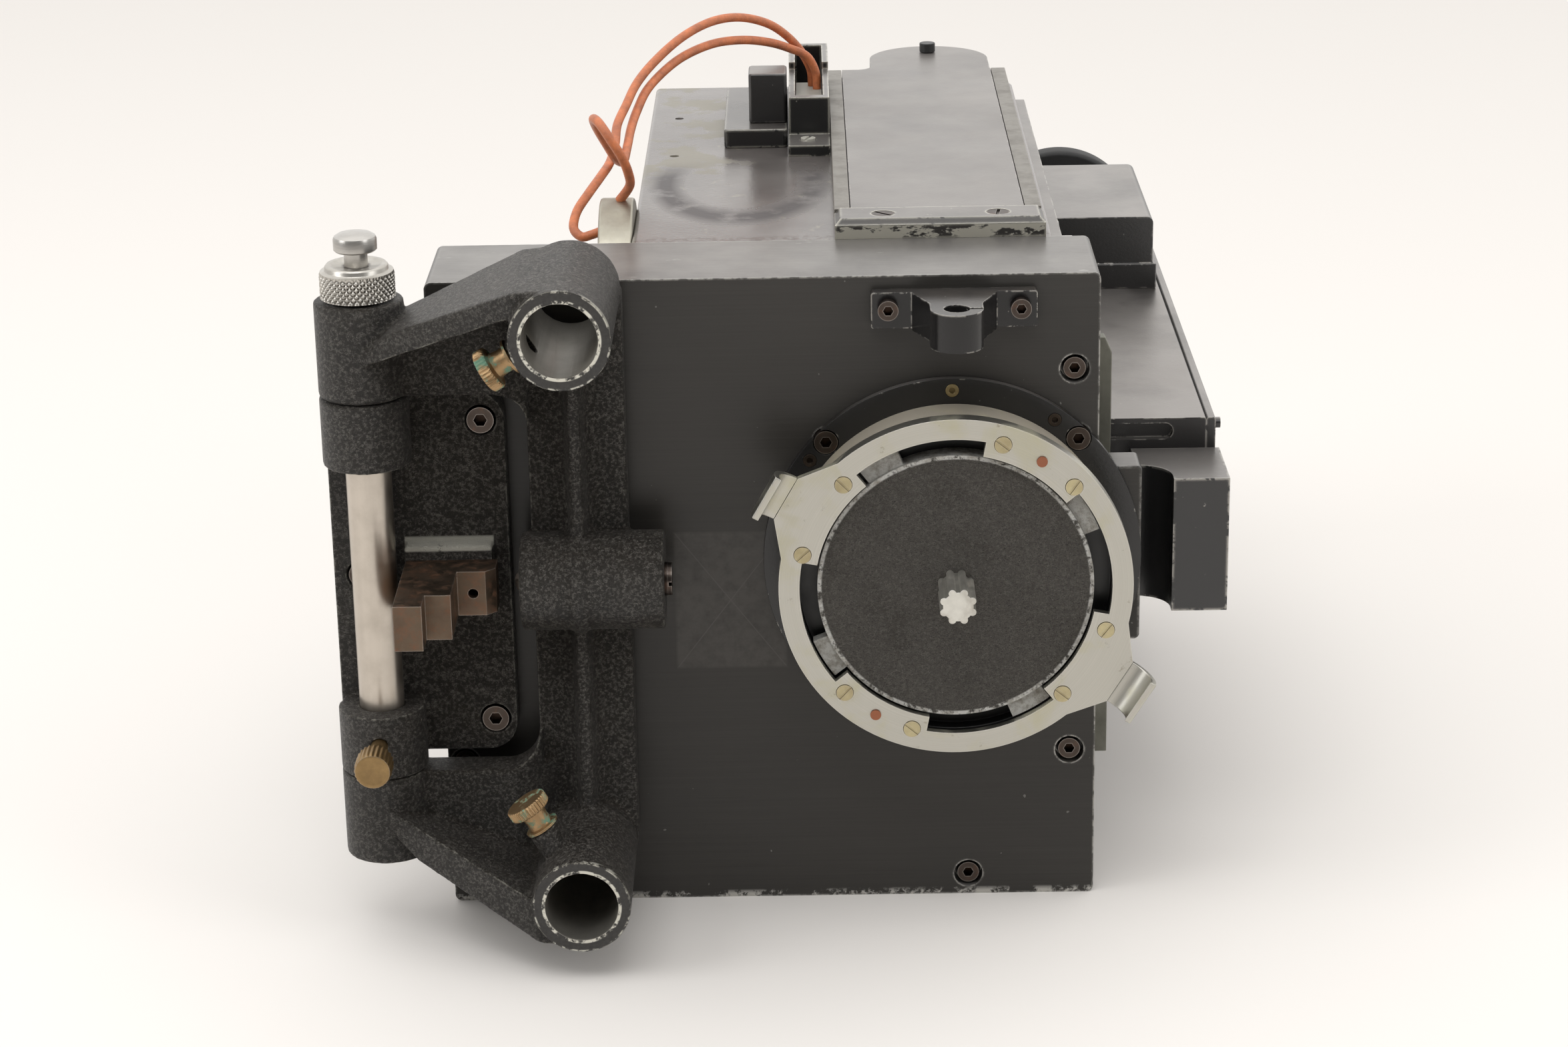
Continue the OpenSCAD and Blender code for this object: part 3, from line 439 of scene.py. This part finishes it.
def metal(name, base, rough, stain=(0.3, 0.25, 0.14), amount=0.3, brush=(60, 60, 60), rust=0.0,
        edge=0.0, hollow_shade_reach=0.0, dots=()):
    """Brushed, stained bare metal; it may have rust, bright edges, hollows darkened towards a rust
    brown as painted shade, and copper dots.
    """
    s = Shade(name)
    lines = s.noise(6.0, 3, 0.6, s.stretch(brush))
    body = s.mix(lines, *shades(base, 0.84, 1.12))
    stained = s.times(s.ramp(s.noise(70, 6, 0.65), 0.45, 0.8), amount)
    body = s.mix(stained, body, stain)
    dull = stained
    if rust:
        spots = s.times(s.ramp(s.noise(240, 6, 0.7), 0.66 - 0.25 * rust, 0.74), rust)
        body = s.mix(spots, body, RUST)
        dull = s.most(stained, spots)
    if edge:
        body = s.mix(s.times(s.edges(0.0006), edge), body, (0.5, 0.46, 0.42))
    if hollow_shade_reach:
        # An occlusion mask darkens the hollows towards a dark rust brown: painted shade, with some real
        # rust in them.
        hollow = s.tree.nodes.new("ShaderNodeAmbientOcclusion")
        hollow.samples = 4
        hollow.inputs["Distance"].default_value = hollow_shade_reach
        body = s.mix(s.ramp(hollow.outputs["AO"], 0.75, 0.35), body, (0.02, 0.011, 0.007))
    for x, z in dots:
        body = s.mix(s.ramp(s.distance(x, z), RIVET_R, RIVET_R - 0.0001), body, (0.3, 0.12, 0.07))
    s.bump(lines, 0.05)
    return s.finish(body, s.blend(dull, rough, min(0.9, rough + 0.25)), s.blend(dull, 1.0, 0.45))


def turned_ring(name, dark_groove, light_groove, painted_shade_within=0.0, metallic=1.0):
    """Satin nickel turned about the lens axis, with yellow-green stains and worn edges; inside an
    optional radius it is near-black, a painted shade.
    """
    s = Shade(name)
    radius = s.lens_radius()
    grooves = s.noise(1800, 2, 0.6, radius)
    body = s.mix(grooves, dark_groove, light_groove)
    stains = s.ramp(s.noise(60, 6, 0.6, None, 0.6), 0.5, 0.72)
    body = s.mix(s.times(stains, 0.55), body, (0.5, 0.47, 0.3))
    dark = s.ramp(s.noise(190, 5, 0.7), 0.64, 0.72)
    body = s.mix(s.times(dark, 0.6), body, (0.22, 0.19, 0.14))
    body = s.mix(s.times(s.edges(0.0007), 0.5), body, (0.75, 0.73, 0.68))
    s.bump(grooves, 0.03)
    shine = s.blend(stains, metallic, metallic * 0.75)
    # Inside the radius the colour is near-black and not metallic: painted shade in the bore.
    if painted_shade_within:
        inside = s.ramp(radius, painted_shade_within, painted_shade_within - 0.0003)
        body = s.mix(inside, body, (0.008, 0.008, 0.008))
        shine = s.times(shine, s.math("SUBTRACT", 1.0, inside))
    return s.finish(body, s.blend(stains, 0.36, 0.5), shine)


def pin_metal(name):
    """Brass for the pin straight above the lens axis, blackened steel for the two beside it."""
    s = Shade(name)
    x, _, _ = s.axes()
    tone = s.noise(300, 4)
    brass = s.mix(tone, (0.2, 0.15, 0.07), (0.4, 0.32, 0.17))
    steel = s.mix(tone, (0.012, 0.01, 0.009), (0.07, 0.05, 0.035))
    s.bump(tone, 0.1)
    return s.finish(s.mix(s.near(x, LENS.x, 0.01, 0.002), steel, brass), 0.4, 0.7)


def verdigris_brass(name):
    """Tarnished brass with copper warmth and green corrosion in patches."""
    s = Shade(name)
    body = s.mix(s.noise(120, 5), (0.27, 0.17, 0.08), (0.46, 0.31, 0.17))
    green = s.ramp(s.noise(150, 6, 0.7), 0.52, 0.6)
    body = s.mix(green, body, (0.13, 0.27, 0.19))
    body = s.mix(s.times(s.edges(0.0005), 0.4), body, (0.62, 0.5, 0.3))
    s.bump(s.noise(700, 3), 0.2)
    return s.finish(body, s.blend(green, 0.42, 0.85), s.blend(green, 0.9, 0.0))


def plastic(name, base, rough):
    """Moulded plastic or rubber with a fine grain and slight mottling."""
    s = Shade(name)
    tone = s.noise(90, 4)
    s.bump(s.noise(600, 3), 0.12)
    return s.finish(s.mix(tone, *shades(base, 0.8, 1.25)), s.blend(tone, rough * 0.85, rough * 1.15))


def insulation(name):
    """Aged orange-brown wire insulation with darker dirt along it."""
    s = Shade(name)
    body = s.mix(s.ramp(s.noise(160, 6, 0.7), 0.35, 0.75), (0.66, 0.2, 0.075), (0.3, 0.1, 0.05))
    s.bump(s.noise(1400, 3), 0.25)
    return s.finish(body, 0.45)


M = {
    "satin_black_plate": brushed_plate("satin_black_plate"),
    "black_machined": worn_enamel("black_machined", (0.013, 0.0125, 0.0125), 0.3, 0.13, 0.3,
        specular=0.8, dust=0.5, top_sheen=1.1),
    "ring_nickel": turned_ring("ring_nickel", (0.4, 0.39, 0.35), (0.53, 0.515, 0.465)),
    "ring_brass": metal("ring_brass", (0.5, 0.44, 0.27), 0.4, (0.24, 0.17, 0.09), 0.6, edge=0.4),
    "black_crackle": crackle("black_crackle"),
    "cast_aluminium": metal("cast_aluminium", (0.6, 0.59, 0.55), 0.38, amount=0.3),
    "blackened_steel": metal("blackened_steel", (0.075, 0.06, 0.052), 0.34, (0.05, 0.035, 0.025), 0.5,
        rust=0.5, edge=0.6, hollow_shade_reach=0.004),
    "bright_steel": metal("bright_steel", (0.5, 0.485, 0.46), 0.3, (0.32, 0.28, 0.23), 0.3,
        (20, 20, 300)),
    "aged_brass": verdigris_brass("aged_brass"),
    "body_enamel": worn_enamel("body_enamel", (0.014, 0.013, 0.013), 0.3, 0.14, 0.4, specular=0.6,
        dust=0.5, top_sheen=1.3),
    "rail_aluminium": metal("rail_aluminium", (0.29, 0.275, 0.25), 0.45, (0.09, 0.08, 0.07), 0.6,
        edge=0.5),
    "cover_grey": worn_enamel("cover_grey", (0.085, 0.08, 0.079), 0.34, 0.08, 0.1, specular=0.9,
        dust=0.45, top_sheen=0.9),
    "black_plastic": plastic("black_plastic", (0.02, 0.02, 0.02), 0.4),
    "terminal_grey": plastic("terminal_grey", (0.35, 0.34, 0.3), 0.5),
    "motor_nickel": metal("motor_nickel", (0.4, 0.38, 0.32), 0.4, amount=0.2),
    "copper_winding": metal("copper_winding", (0.45, 0.2, 0.1), 0.4),
    "black_rubber": plastic("black_rubber", (0.018, 0.018, 0.018), 0.6),
    "orange_insulation": insulation("orange_insulation"),
}
# Parts whose finish differs from the others of their slot
OWN = {
    "body_cap": crackle("cap_crackle", (0.11, 0.099, 0.085), 1500, 0.5, beyond=CAP_PAINT_R),
    "ring_screws": metal("ring_screw_brass", (0.5, 0.44, 0.27), 0.4, (0.24, 0.17, 0.09), 0.6, edge=0.4,
        dots=RIVETS),
    "knuckle_screw": metal("clamp_bronze", (0.33, 0.22, 0.1), 0.4, (0.12, 0.07, 0.03), 0.7, edge=0.5),
    "hinge_nut": metal("nut_steel", (0.52, 0.5, 0.46), 0.32, (0.32, 0.28, 0.22), 0.4, hollow_shade_reach=0.002),
    "arm_column": crackle("arm_crackle", sockets=True),
    "hinge_base": crackle("base_crackle", pad=True),
    "body_top": top_enamel("top_enamel"),
    "stop_bar": worn_enamel("chipped_enamel", (0.02, 0.018, 0.016), 0.3, 0.24, 0.6, CREAM, 0.8, 0.0016,
        0.5, (high("stop_bar").z - 0.0021, low("stop_bar").y)),
    "terminal_box": worn_enamel("chipped_black", (0.009, 0.009, 0.009), 0.28, 0.2, 0.4, CREAM, 0.6,
        0.0014),
    "connector_plate": worn_enamel("connector_black", (0.011, 0.0105, 0.0105), 0.24, 0.22, 0.5, CREAM,
        0.7, 0.0014, top_sheen=0.4),
    "flange_pins": pin_metal("pin_metal"),
    "hook_bracket": worn_enamel("hook_black", (0.013, 0.0125, 0.0125), 0.22, 0.12, 0.4, specular=0.4,
        top_sheen=0.1),
    "finder_housing": worn_enamel("housing_black", (0.014, 0.013, 0.013), 0.34, 0.16, 0.6,
        specular=0.7, dust=1.0, top_sheen=1.5),
    "finder_front": worn_enamel("finder_black", (0.012, 0.012, 0.0125), 0.3, 0.16, 0.5, specular=0.7,
        edge=0.0018),
    "lens_flange": worn_enamel("flange_black", (0.009, 0.009, 0.0095), 0.28, 0.03, 0.2, specular=0.6),
    "mount_barrel": turned_ring("barrel_turned", (0.46, 0.41, 0.33), (0.58, 0.53, 0.44), BARREL_BORE_R,
        0.35),
    "hinge_rod": metal("rod_steel", (0.53, 0.48, 0.42), 0.3, (0.26, 0.22, 0.17), 0.35, (25, 25, 1)),
    "latch_block": metal("latch_bronze", (0.135, 0.1, 0.072), 0.42, (0.09, 0.045, 0.027), 0.7,
        rust=0.75, edge=0.6),
    "plunger_ball": metal("ball_steel", (0.55, 0.5, 0.44), 0.35, rust=0.6),
    "side_flange": metal("flange_metal", (0.2, 0.2, 0.17), 0.5, (0.1, 0.1, 0.08), 0.5, edge=0.4),
    "spline_knob": metal("knob_cast", (0.66, 0.65, 0.6), 0.42, (0.2, 0.15, 0.1), 0.8),
}


def finish_of(node):
    return OWN.get(node) or M[SLOT_OF[node]]


# ---------- mesh helpers ----------
def add_object(name, mesh, node, *replaced):
    """A new piece with the finish and the body of a CAD node; it may replace nodes."""
    piece = bpy.data.objects.new(name, mesh)
    bpy.context.scene.collection.objects.link(piece)
    mesh.materials.clear()
    mesh.materials.append(finish_of(node))
    if replaced:
        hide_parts(*replaced)
    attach(piece, BODY_OF[node])
    return piece


def smooth(mesh, angle):
    """Smooth shading, apart from edges sharper than the angle."""
    mesh.shade_smooth()
    mesh.set_sharp_from_angle(angle=math.radians(angle))


def even_normals(piece):
    """Lets the large faces set the shading, so that flat faces look flat."""
    weigh = piece.modifiers.new("weigh", "WEIGHTED_NORMAL")
    weigh.mode = "FACE_AREA"
    weigh.weight = 100
    weigh.keep_sharp = True
    apply_modifiers(piece)


def apply_modifiers(piece):
    """Bakes the piece's modifiers into a new mesh."""
    graph = bpy.context.evaluated_depsgraph_get()
    made = bpy.data.meshes.new_from_object(piece.evaluated_get(graph))
    piece.modifiers.clear()
    piece.data = made
    return made


def from_bmesh(maker, name):
    mesh = bpy.data.meshes.new(name)
    maker.to_mesh(mesh)
    maker.free()
    return mesh


def cad_copy(*parts):
    """A clean copy of one or more CAD nodes' meshes, with flat faces rejoined."""
    cleaner = bmesh.new()
    for part in parts:
        cleaner.from_mesh(nodes[part].data)
    bmesh.ops.remove_doubles(cleaner, verts=cleaner.verts, dist=1e-6)
    bmesh.ops.dissolve_limit(cleaner, angle_limit=math.radians(0.5), verts=cleaner.verts,
        edges=cleaner.edges)
    return from_bmesh(cleaner, parts[0] + "_copy")


def machined(node, width):
    """A machined part: its CAD shape with every sharp edge broken."""
    piece = add_object(node + "_part", cad_copy(node), node, node)
    bevel = piece.modifiers.new("bevel", "BEVEL")
    bevel.width = width * MM
    bevel.segments = 2
    bevel.limit_method = "ANGLE"
    bevel.angle_limit = math.radians(38)
    bevel.use_clamp_overlap = True
    smooth(apply_modifiers(piece), 50)
    even_normals(piece)


def cast(parts, voxel, rounds, cutters):
    """A casting of one or more CAD nodes with soft fillets, and its machined faces cut crisp."""
    piece = add_object(parts[0] + "_part", cad_copy(*parts), parts[0], *parts)
    remesh = piece.modifiers.new("remesh", "REMESH")
    remesh.mode = "VOXEL"
    remesh.voxel_size = voxel * MM
    soften = piece.modifiers.new("soften", "SMOOTH")
    soften.factor = 0.5
    soften.iterations = rounds
    apply_modifiers(piece)
    for n, cutter in enumerate(cutters):
        cut = piece.modifiers.new(f"cut_{n}", "BOOLEAN")
        cut.operation = "DIFFERENCE"
        cut.object = cutter
    smooth(apply_modifiers(piece), 40)
    for cutter in cutters:
        bpy.data.objects.remove(cutter)


def cutter_from(maker):
    cutter = bpy.data.objects.new("cutter", from_bmesh(maker, "cutter"))
    bpy.context.scene.collection.objects.link(cutter)
    return cutter


def rod(start, end, radius):
    """A cylinder from start to end, for cutting."""
    axis = Vector(end) - Vector(start)
    maker = bmesh.new()
    bmesh.ops.create_cone(maker, cap_ends=True, segments=64, radius1=radius, radius2=radius,
        depth=axis.length)
    turn = axis.to_track_quat("Z", "Y").to_matrix().to_4x4()
    shift = Matrix.Translation((Vector(start) + Vector(end)) / 2)
    bmesh.ops.transform(maker, matrix=shift @ turn, verts=maker.verts)
    return cutter_from(maker)


def cone(place, wide, narrow):
    """A short cone that widens towards -y, for cutting a bore's mouth."""
    maker = bmesh.new()
    bmesh.ops.create_cone(maker, cap_ends=True, segments=96, radius1=narrow, radius2=wide,
        depth=wide - narrow)
    turn = Matrix.Rotation(math.radians(90), 4, "X")
    bmesh.ops.transform(maker, matrix=Matrix.Translation(place) @ turn, verts=maker.verts)
    return cutter_from(maker)


def block(corner, other):
    """A box between two corners, for cutting."""
    maker = bmesh.new()
    bmesh.ops.create_cube(maker, size=1.0)
    a, b = Vector(corner), Vector(other)
    scale = Matrix.Diagonal((*(b - a), 1.0))
    bmesh.ops.transform(maker, matrix=Matrix.Translation((a + b) / 2) @ scale, verts=maker.verts)
    return cutter_from(maker)


def lathe(profile, sides, place, axis, shape=None):
    """A turned solid from (radius, height) pairs in mm; shape alters a radius by its place."""
    maker = bmesh.new()
    rings = []
    for radius, height in profile:
        ring = []
        for k in range(sides):
            angle = math.tau * k / sides
            r = shape(angle, height, radius) if shape else radius
            point = Vector((r * math.cos(angle), r * math.sin(angle), height)) * MM
            ring.append(maker.verts.new(point))
        rings.append(ring)
    for below, above in zip(rings, rings[1:]):
        for k in range(sides):
            maker.faces.new((below[k], below[(k + 1) % sides], above[(k + 1) % sides], above[k]))
    maker.faces.new(rings[0][::-1])
    maker.faces.new(rings[-1])
    turn = Vector(axis).to_track_quat("Z", "Y").to_matrix().to_4x4()
    bmesh.ops.transform(maker, matrix=Matrix.Translation(place) @ turn, verts=maker.verts)
    return from_bmesh(maker, "lathe")


# ---------- motor leads: the routes of part.scad, in mm from its datum ----------
DATUM = Vector((89.45, -175.0, 0.0))
WIRE_DIAMETER = 3.5
STEPS = 6
WIRE_LEFT = [(-99, 246, 250), (-99.5, 245, 257), (-103, 241, 265), (-109, 236, 273), (-117, 228, 280),
    (-128, 216, 285), (-139, 203, 286), (-150, 189, 283), (-160, 175, 277), (-167, 162, 271),
    (-171, 149, 265), (-174, 138, 260), (-174.5, 127, 255), (-176, 115, 251), (-179, 103, 248.5),
    (-183, 92, 245), (-187, 83, 240.5), (-188, 76, 236), (-185, 73, 233.5), (-181.5, 73.5, 234),
    (-178.4, 74, 235)]
WIRE_RIGHT = [(-97, 240, 250), (-97.5, 240, 257), (-101, 238, 264), (-108, 233, 268.5),
    (-116, 226, 272.5), (-126, 215, 276), (-137, 203, 277.5), (-147, 190, 276.5), (-155, 179, 273.5),
    (-163, 165, 268), (-167, 153, 262), (-169, 142, 257.5), (-170, 130, 253.5), (-171, 117, 251),
    (-173, 104, 255), (-176, 95, 263), (-179, 88, 271), (-179.5, 80, 276), (-177, 72.5, 276),
    (-173, 68.5, 271), (-169, 69, 264), (-167, 73, 257), (-167, 78.5, 251), (-171, 82, 244.8)]


def catmull(points, steps):
    """A smooth path through the points."""
    out = []
    for i in range(len(points) - 1):
        before, after = points[max(0, i - 1)], points[min(len(points) - 1, i + 2)]
        for k in range(steps):
            u = k / steps
            a, b = points[i], points[i + 1]
            out.append(0.5 * (2 * a + u * (b - before) + u * u * (2 * before - 5 * a + 4 * b - after)
                + u ** 3 * (3 * a - before - 3 * b + after)))
    return out + [points[-1]]


def lead(node, route):
    """One motor lead along its route."""
    path = catmull([(Vector(p) + DATUM) * MM for p in route], STEPS)
    curve = bpy.data.curves.new(node + "_wire", "CURVE")
    curve.dimensions = "3D"
    curve.bevel_depth = WIRE_DIAMETER / 2 * MM
    curve.bevel_resolution = 5
    spline = curve.splines.new("POLY")
    spline.points.add(len(path) - 1)
    for point, place in zip(spline.points, path):
        point.co = (*place, 1)
    curve.materials.append(M["orange_insulation"])
    piece = bpy.data.objects.new(node + "_wire", curve)
    bpy.context.scene.collection.objects.link(piece)
    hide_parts(node)
    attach(piece, "camera")


lead("motor_wire_left", WIRE_LEFT)
lead("motor_wire_right", WIRE_RIGHT)

# ---------- CAD nodes keep their shape and get the finish of their slot ----------
for name, node_object in nodes.items():
    node_object.data.materials.clear()
    node_object.data.materials.append(finish_of(name))

# Width of the broken edges of each machined part, in mm
BEVELS = {
    "front_plate": 1.2, "side_ear": 0.8, "lens_flange": 0.3, "mount_barrel": 0.4, "latch_block": 0.4,
    "body_shell": 1.0, "body_top": 0.3, "side_flange": 0.4, "stop_bar": 0.3, "port_rails": 0.3,
    "port_cover": 0.3, "connector_plate": 0.7, "connector_socket": 0.9, "terminal_box": 0.5,
    "motor_housing": 1.0, "finder_housing": 1.2, "finder_side_cover": 1.0, "finder_front": 1.4,
    "finder_back_box": 1.2, "film_door": 0.8, "eyecup": 2.0, "eyepiece_tube": 0.6, "lock_ring": 0.5,
    "finger_tabs": 0.4, "body_cap": 0.3, "spline_knob": 0.3, "cap_screws": 0.3, "ring_screws": 0.2,
    "flange_pins": 0.15, "stop_bar_screws": 0.2, "plunger_screw": 0.3, "cover_knob": 0.4,
    "hook_bracket": 0.5, "door_latch": 0.4, "terminal_strip": 0.2, "plunger_ball": 0.3,
}
for name, width in BEVELS.items():
    machined(name, width)

# ---------- castings of the matte-box bracket ----------
KNUCKLE_BORE = 0.00808
BASE_BORE = 0.00805
ABOVE_ARM = 0.245
BELOW_BASE, ABOVE_BASE = 0.05, 0.22
BORE_DEPTH = 0.08
# How far the cutters reach past the sockets' front and sides, and how much they face off
CLEAR = 0.01
FACE_REACH = 0.03
FACE_CUT = 0.0006
CHAMFER = 0.0012


def on_hinge(z):
    return HINGE.x, HINGE.y, z


arm_cutters = []
for z in SOCKETS_Z:
    before, behind = SOCKET_FRONT - CLEAR, SOCKET_FRONT + BORE_DEPTH
    arm_cutters.append(rod((SOCKET_X, before, z), (SOCKET_X, behind, z), SOCKET_BORE))
    arm_cutters.append(cone((SOCKET_X, SOCKET_FRONT, z), SOCKET_BORE + CHAMFER, SOCKET_BORE))
    arm_cutters.append(block((SOCKET_X - FACE_REACH, before, z - FACE_REACH),
        (SOCKET_X + FACE_REACH, SOCKET_FRONT + FACE_CUT, z + FACE_REACH)))
arm_cutters.append(rod(on_hinge(low("hinge_rod").z), on_hinge(ABOVE_ARM), KNUCKLE_BORE))
cast(("arm_column", "upper_rod_arm", "lower_rod_arm"), 0.8, 7, arm_cutters)
cast(("hinge_base",), 0.8, 5, [rod(on_hinge(BELOW_BASE), on_hinge(ABOVE_BASE), BASE_BORE)])

# ---------- knurled and ribbed parts ----------
UP = (0, 0, 1)
NUT_R = 13.0
KNURL_LOW, KNURL_HIGH = 0.8, 9.1
KNURLS = 34
KNURL_PITCH = 2.3
KNURL_DEPTH = 0.95


def turned(node, profile, sides, place, axis, angle, shape=None):
    """A turned piece that stands for a CAD node; edges sharper than the angle stay crisp."""
    mesh = lathe(profile, sides, place, axis, shape)
    smooth(mesh, angle)
    add_object(node + "_part", mesh, node, node)


def diamonds(angle, height, radius):
    """Two crossed sets of V-grooves round the nut's rim."""
    if not KNURL_LOW < height < KNURL_HIGH or radius < NUT_R - 0.1:
        return radius
    a = abs(math.sin(KNURLS / 2 * angle + math.pi * height / KNURL_PITCH))
    b = abs(math.sin(KNURLS / 2 * angle - math.pi * height / KNURL_PITCH))
    return radius - KNURL_DEPTH * (1 - min(a, b) ** 0.7)


def ribs(count, depth, beyond):
    """Rounded grooves round a rim, where its radius is larger than beyond."""

    def shape(angle, height, radius):
        groove = depth * (0.5 - 0.5 * math.cos(count * angle))
        return radius - groove if radius > beyond else radius

    return shape


rim = [(NUT_R, 0.7 + k * 0.29) for k in range(29)]
nut_profile = [(4.4, 0.0), (11.6, 0.0), (12.7, 0.4)] + rim + [(12.6, 9.7), (11.2, 10.0), (10.9, 10.3),
    (10.9, 11.4), (10.3, 12.1), (8.8, 12.1), (8.2, 11.5), (4.6, 11.3), (4.3, 11.0)]
turned("hinge_nut", nut_profile, 340, on_hinge(low("hinge_nut").z), UP, 60, diamonds)

button_profile = [(4.05, 0.0), (4.05, 42.3), (7.0, 42.5), (7.5, 43.0), (7.5, 46.6), (7.1, 47.5),
    (5.8, 48.3), (3.6, 48.75), (1.2, 48.9)]
turned("pull_button", button_profile, 64, on_hinge(low("pull_button").z), UP, 30)

SCREW_Y = -0.225
SCREW_HEAD = [(3.0, 0.3), (6.1, 0.35), (6.2, 1.2), (4.4, 1.5), (4.2, 4), (4.6, 6.9), (5.4, 7.5),
    (7.0, 7.6), (7.6, 8.1), (7.6, 9.3), (7.6, 10.5), (7.6, 11.2), (7.1, 11.6), (5.6, 11.7), (2.0, 11.4)]


def thumbscrew(node, centre_z, degrees, reach):
    """Ribbed thumbscrew that points at the socket's axis from the given angle."""
    angle = math.radians(degrees)
    profile = [(3.0, 15.2)] + [(radius, reach + height) for radius, height in SCREW_HEAD]
    turned(node, profile, 216, (SOCKET_X, SCREW_Y, centre_z), (math.cos(angle), 0, math.sin(angle)),
        40, ribs(36, 0.45, 7.3))


thumbscrew("upper_thumbscrew", SOCKETS_Z[0], 211, 20)
thumbscrew("lower_thumbscrew", SOCKETS_Z[1], 122, 26)

CLAMP_LENGTH = 0.0288
clamp = middle("knuckle_screw")
clamp_root = (clamp.x, low("knuckle_screw").y + CLAMP_LENGTH, clamp.z)
clamp_profile = [(3.0, 0.0), (3.0, 17.0), (4.6, 17.1), (4.6, 18.8), (6.0, 19.0), (6.6, 19.5),
    (6.6, 21.0), (6.6, 24.0), (6.6, 27.6), (6.1, 28.5), (5.2, 28.8), (4.6, 28.6), (2.0, 28.4)]
turned("knuckle_screw", clamp_profile, 192, clamp_root, (0, -1, 0), 40, ribs(24, 0.4, 6.4))

# ---------- stage and light ----------
FLOOR_SIZE = 6.0
PALE = (0.78, 0.752, 0.722)
maker = bmesh.new()
bmesh.ops.create_grid(maker, x_segments=2, y_segments=2, size=FLOOR_SIZE)
floor_mesh = from_bmesh(maker, "floor")
floor = bpy.data.objects.new("floor", floor_mesh)
bpy.context.scene.collection.objects.link(floor)
pale = Shade("pale_floor")
floor_mesh.materials.append(pale.finish(PALE, 0.9, specular=0.1))

# Soft surroundings, by y + SKY_LIFT * z of the direction: bright behind and above, dim in front
SKY_LIFT = 0.9
SKY_RANGE = {"From Min": -0.5, "From Max": 1.0, "To Min": 0.14, "To Max": 1.2}
WARM_WHITE = (1.0, 0.985, 0.965, 1)

world = bpy.data.worlds.new("world")
bpy.context.scene.world = world
world.use_nodes = True
sky = world.node_tree
background = sky.nodes["Background"]
direction = sky.nodes.new("ShaderNodeTexCoord")
split = sky.nodes.new("ShaderNodeSeparateXYZ")
sky.links.new(direction.outputs["Generated"], split.inputs[0])
depth = sky.nodes.new("ShaderNodeMapRange")
for socket_name, number in SKY_RANGE.items():
    depth.inputs[socket_name].default_value = number
toward = sky.nodes.new("ShaderNodeMath")
toward.operation = "MULTIPLY_ADD"
toward.inputs[1].default_value = SKY_LIFT
sky.links.new(split.outputs[2], toward.inputs[0])
sky.links.new(split.outputs[1], toward.inputs[2])
sky.links.new(toward.outputs[0], depth.inputs["Value"])
background.inputs["Color"].default_value = WARM_WHITE
sky.links.new(depth.outputs["Result"], background.inputs["Strength"])


def softbox(name, place, target, size, power):
    """A rectangular area light at a place, turned to face the target."""
    light = bpy.data.lights.new(name, "AREA")
    light.shape = "RECTANGLE"
    light.size, light.size_y = size
    light.energy = power
    lamp = bpy.data.objects.new(name, light)
    turn = (Vector(place) - Vector(target)).to_track_quat("Z", "Y").to_matrix().to_4x4()
    lamp.matrix_world = Matrix.Translation(place) @ turn
    lamp.visible_camera = False
    bpy.context.scene.collection.objects.link(lamp)


softbox("top_light", (0.0, 0.0, 3.0), (0, 0, 0.1), (4.5, 4.5), 26)
softbox("front_light", (-0.3, -1.5, 2.3), (0, 0, 0.12), (1.6, 0.9), 16)
softbox("left_light", (-1.9, -0.9, 1.3), (0, 0, 0.15), (1.0, 1.4), 14)
softbox("right_light", (1.8, -1.1, 1.3), (0, 0, 0.15), (1.0, 1.4), 10)
bpy.context.scene.view_settings.view_transform = "Standard"
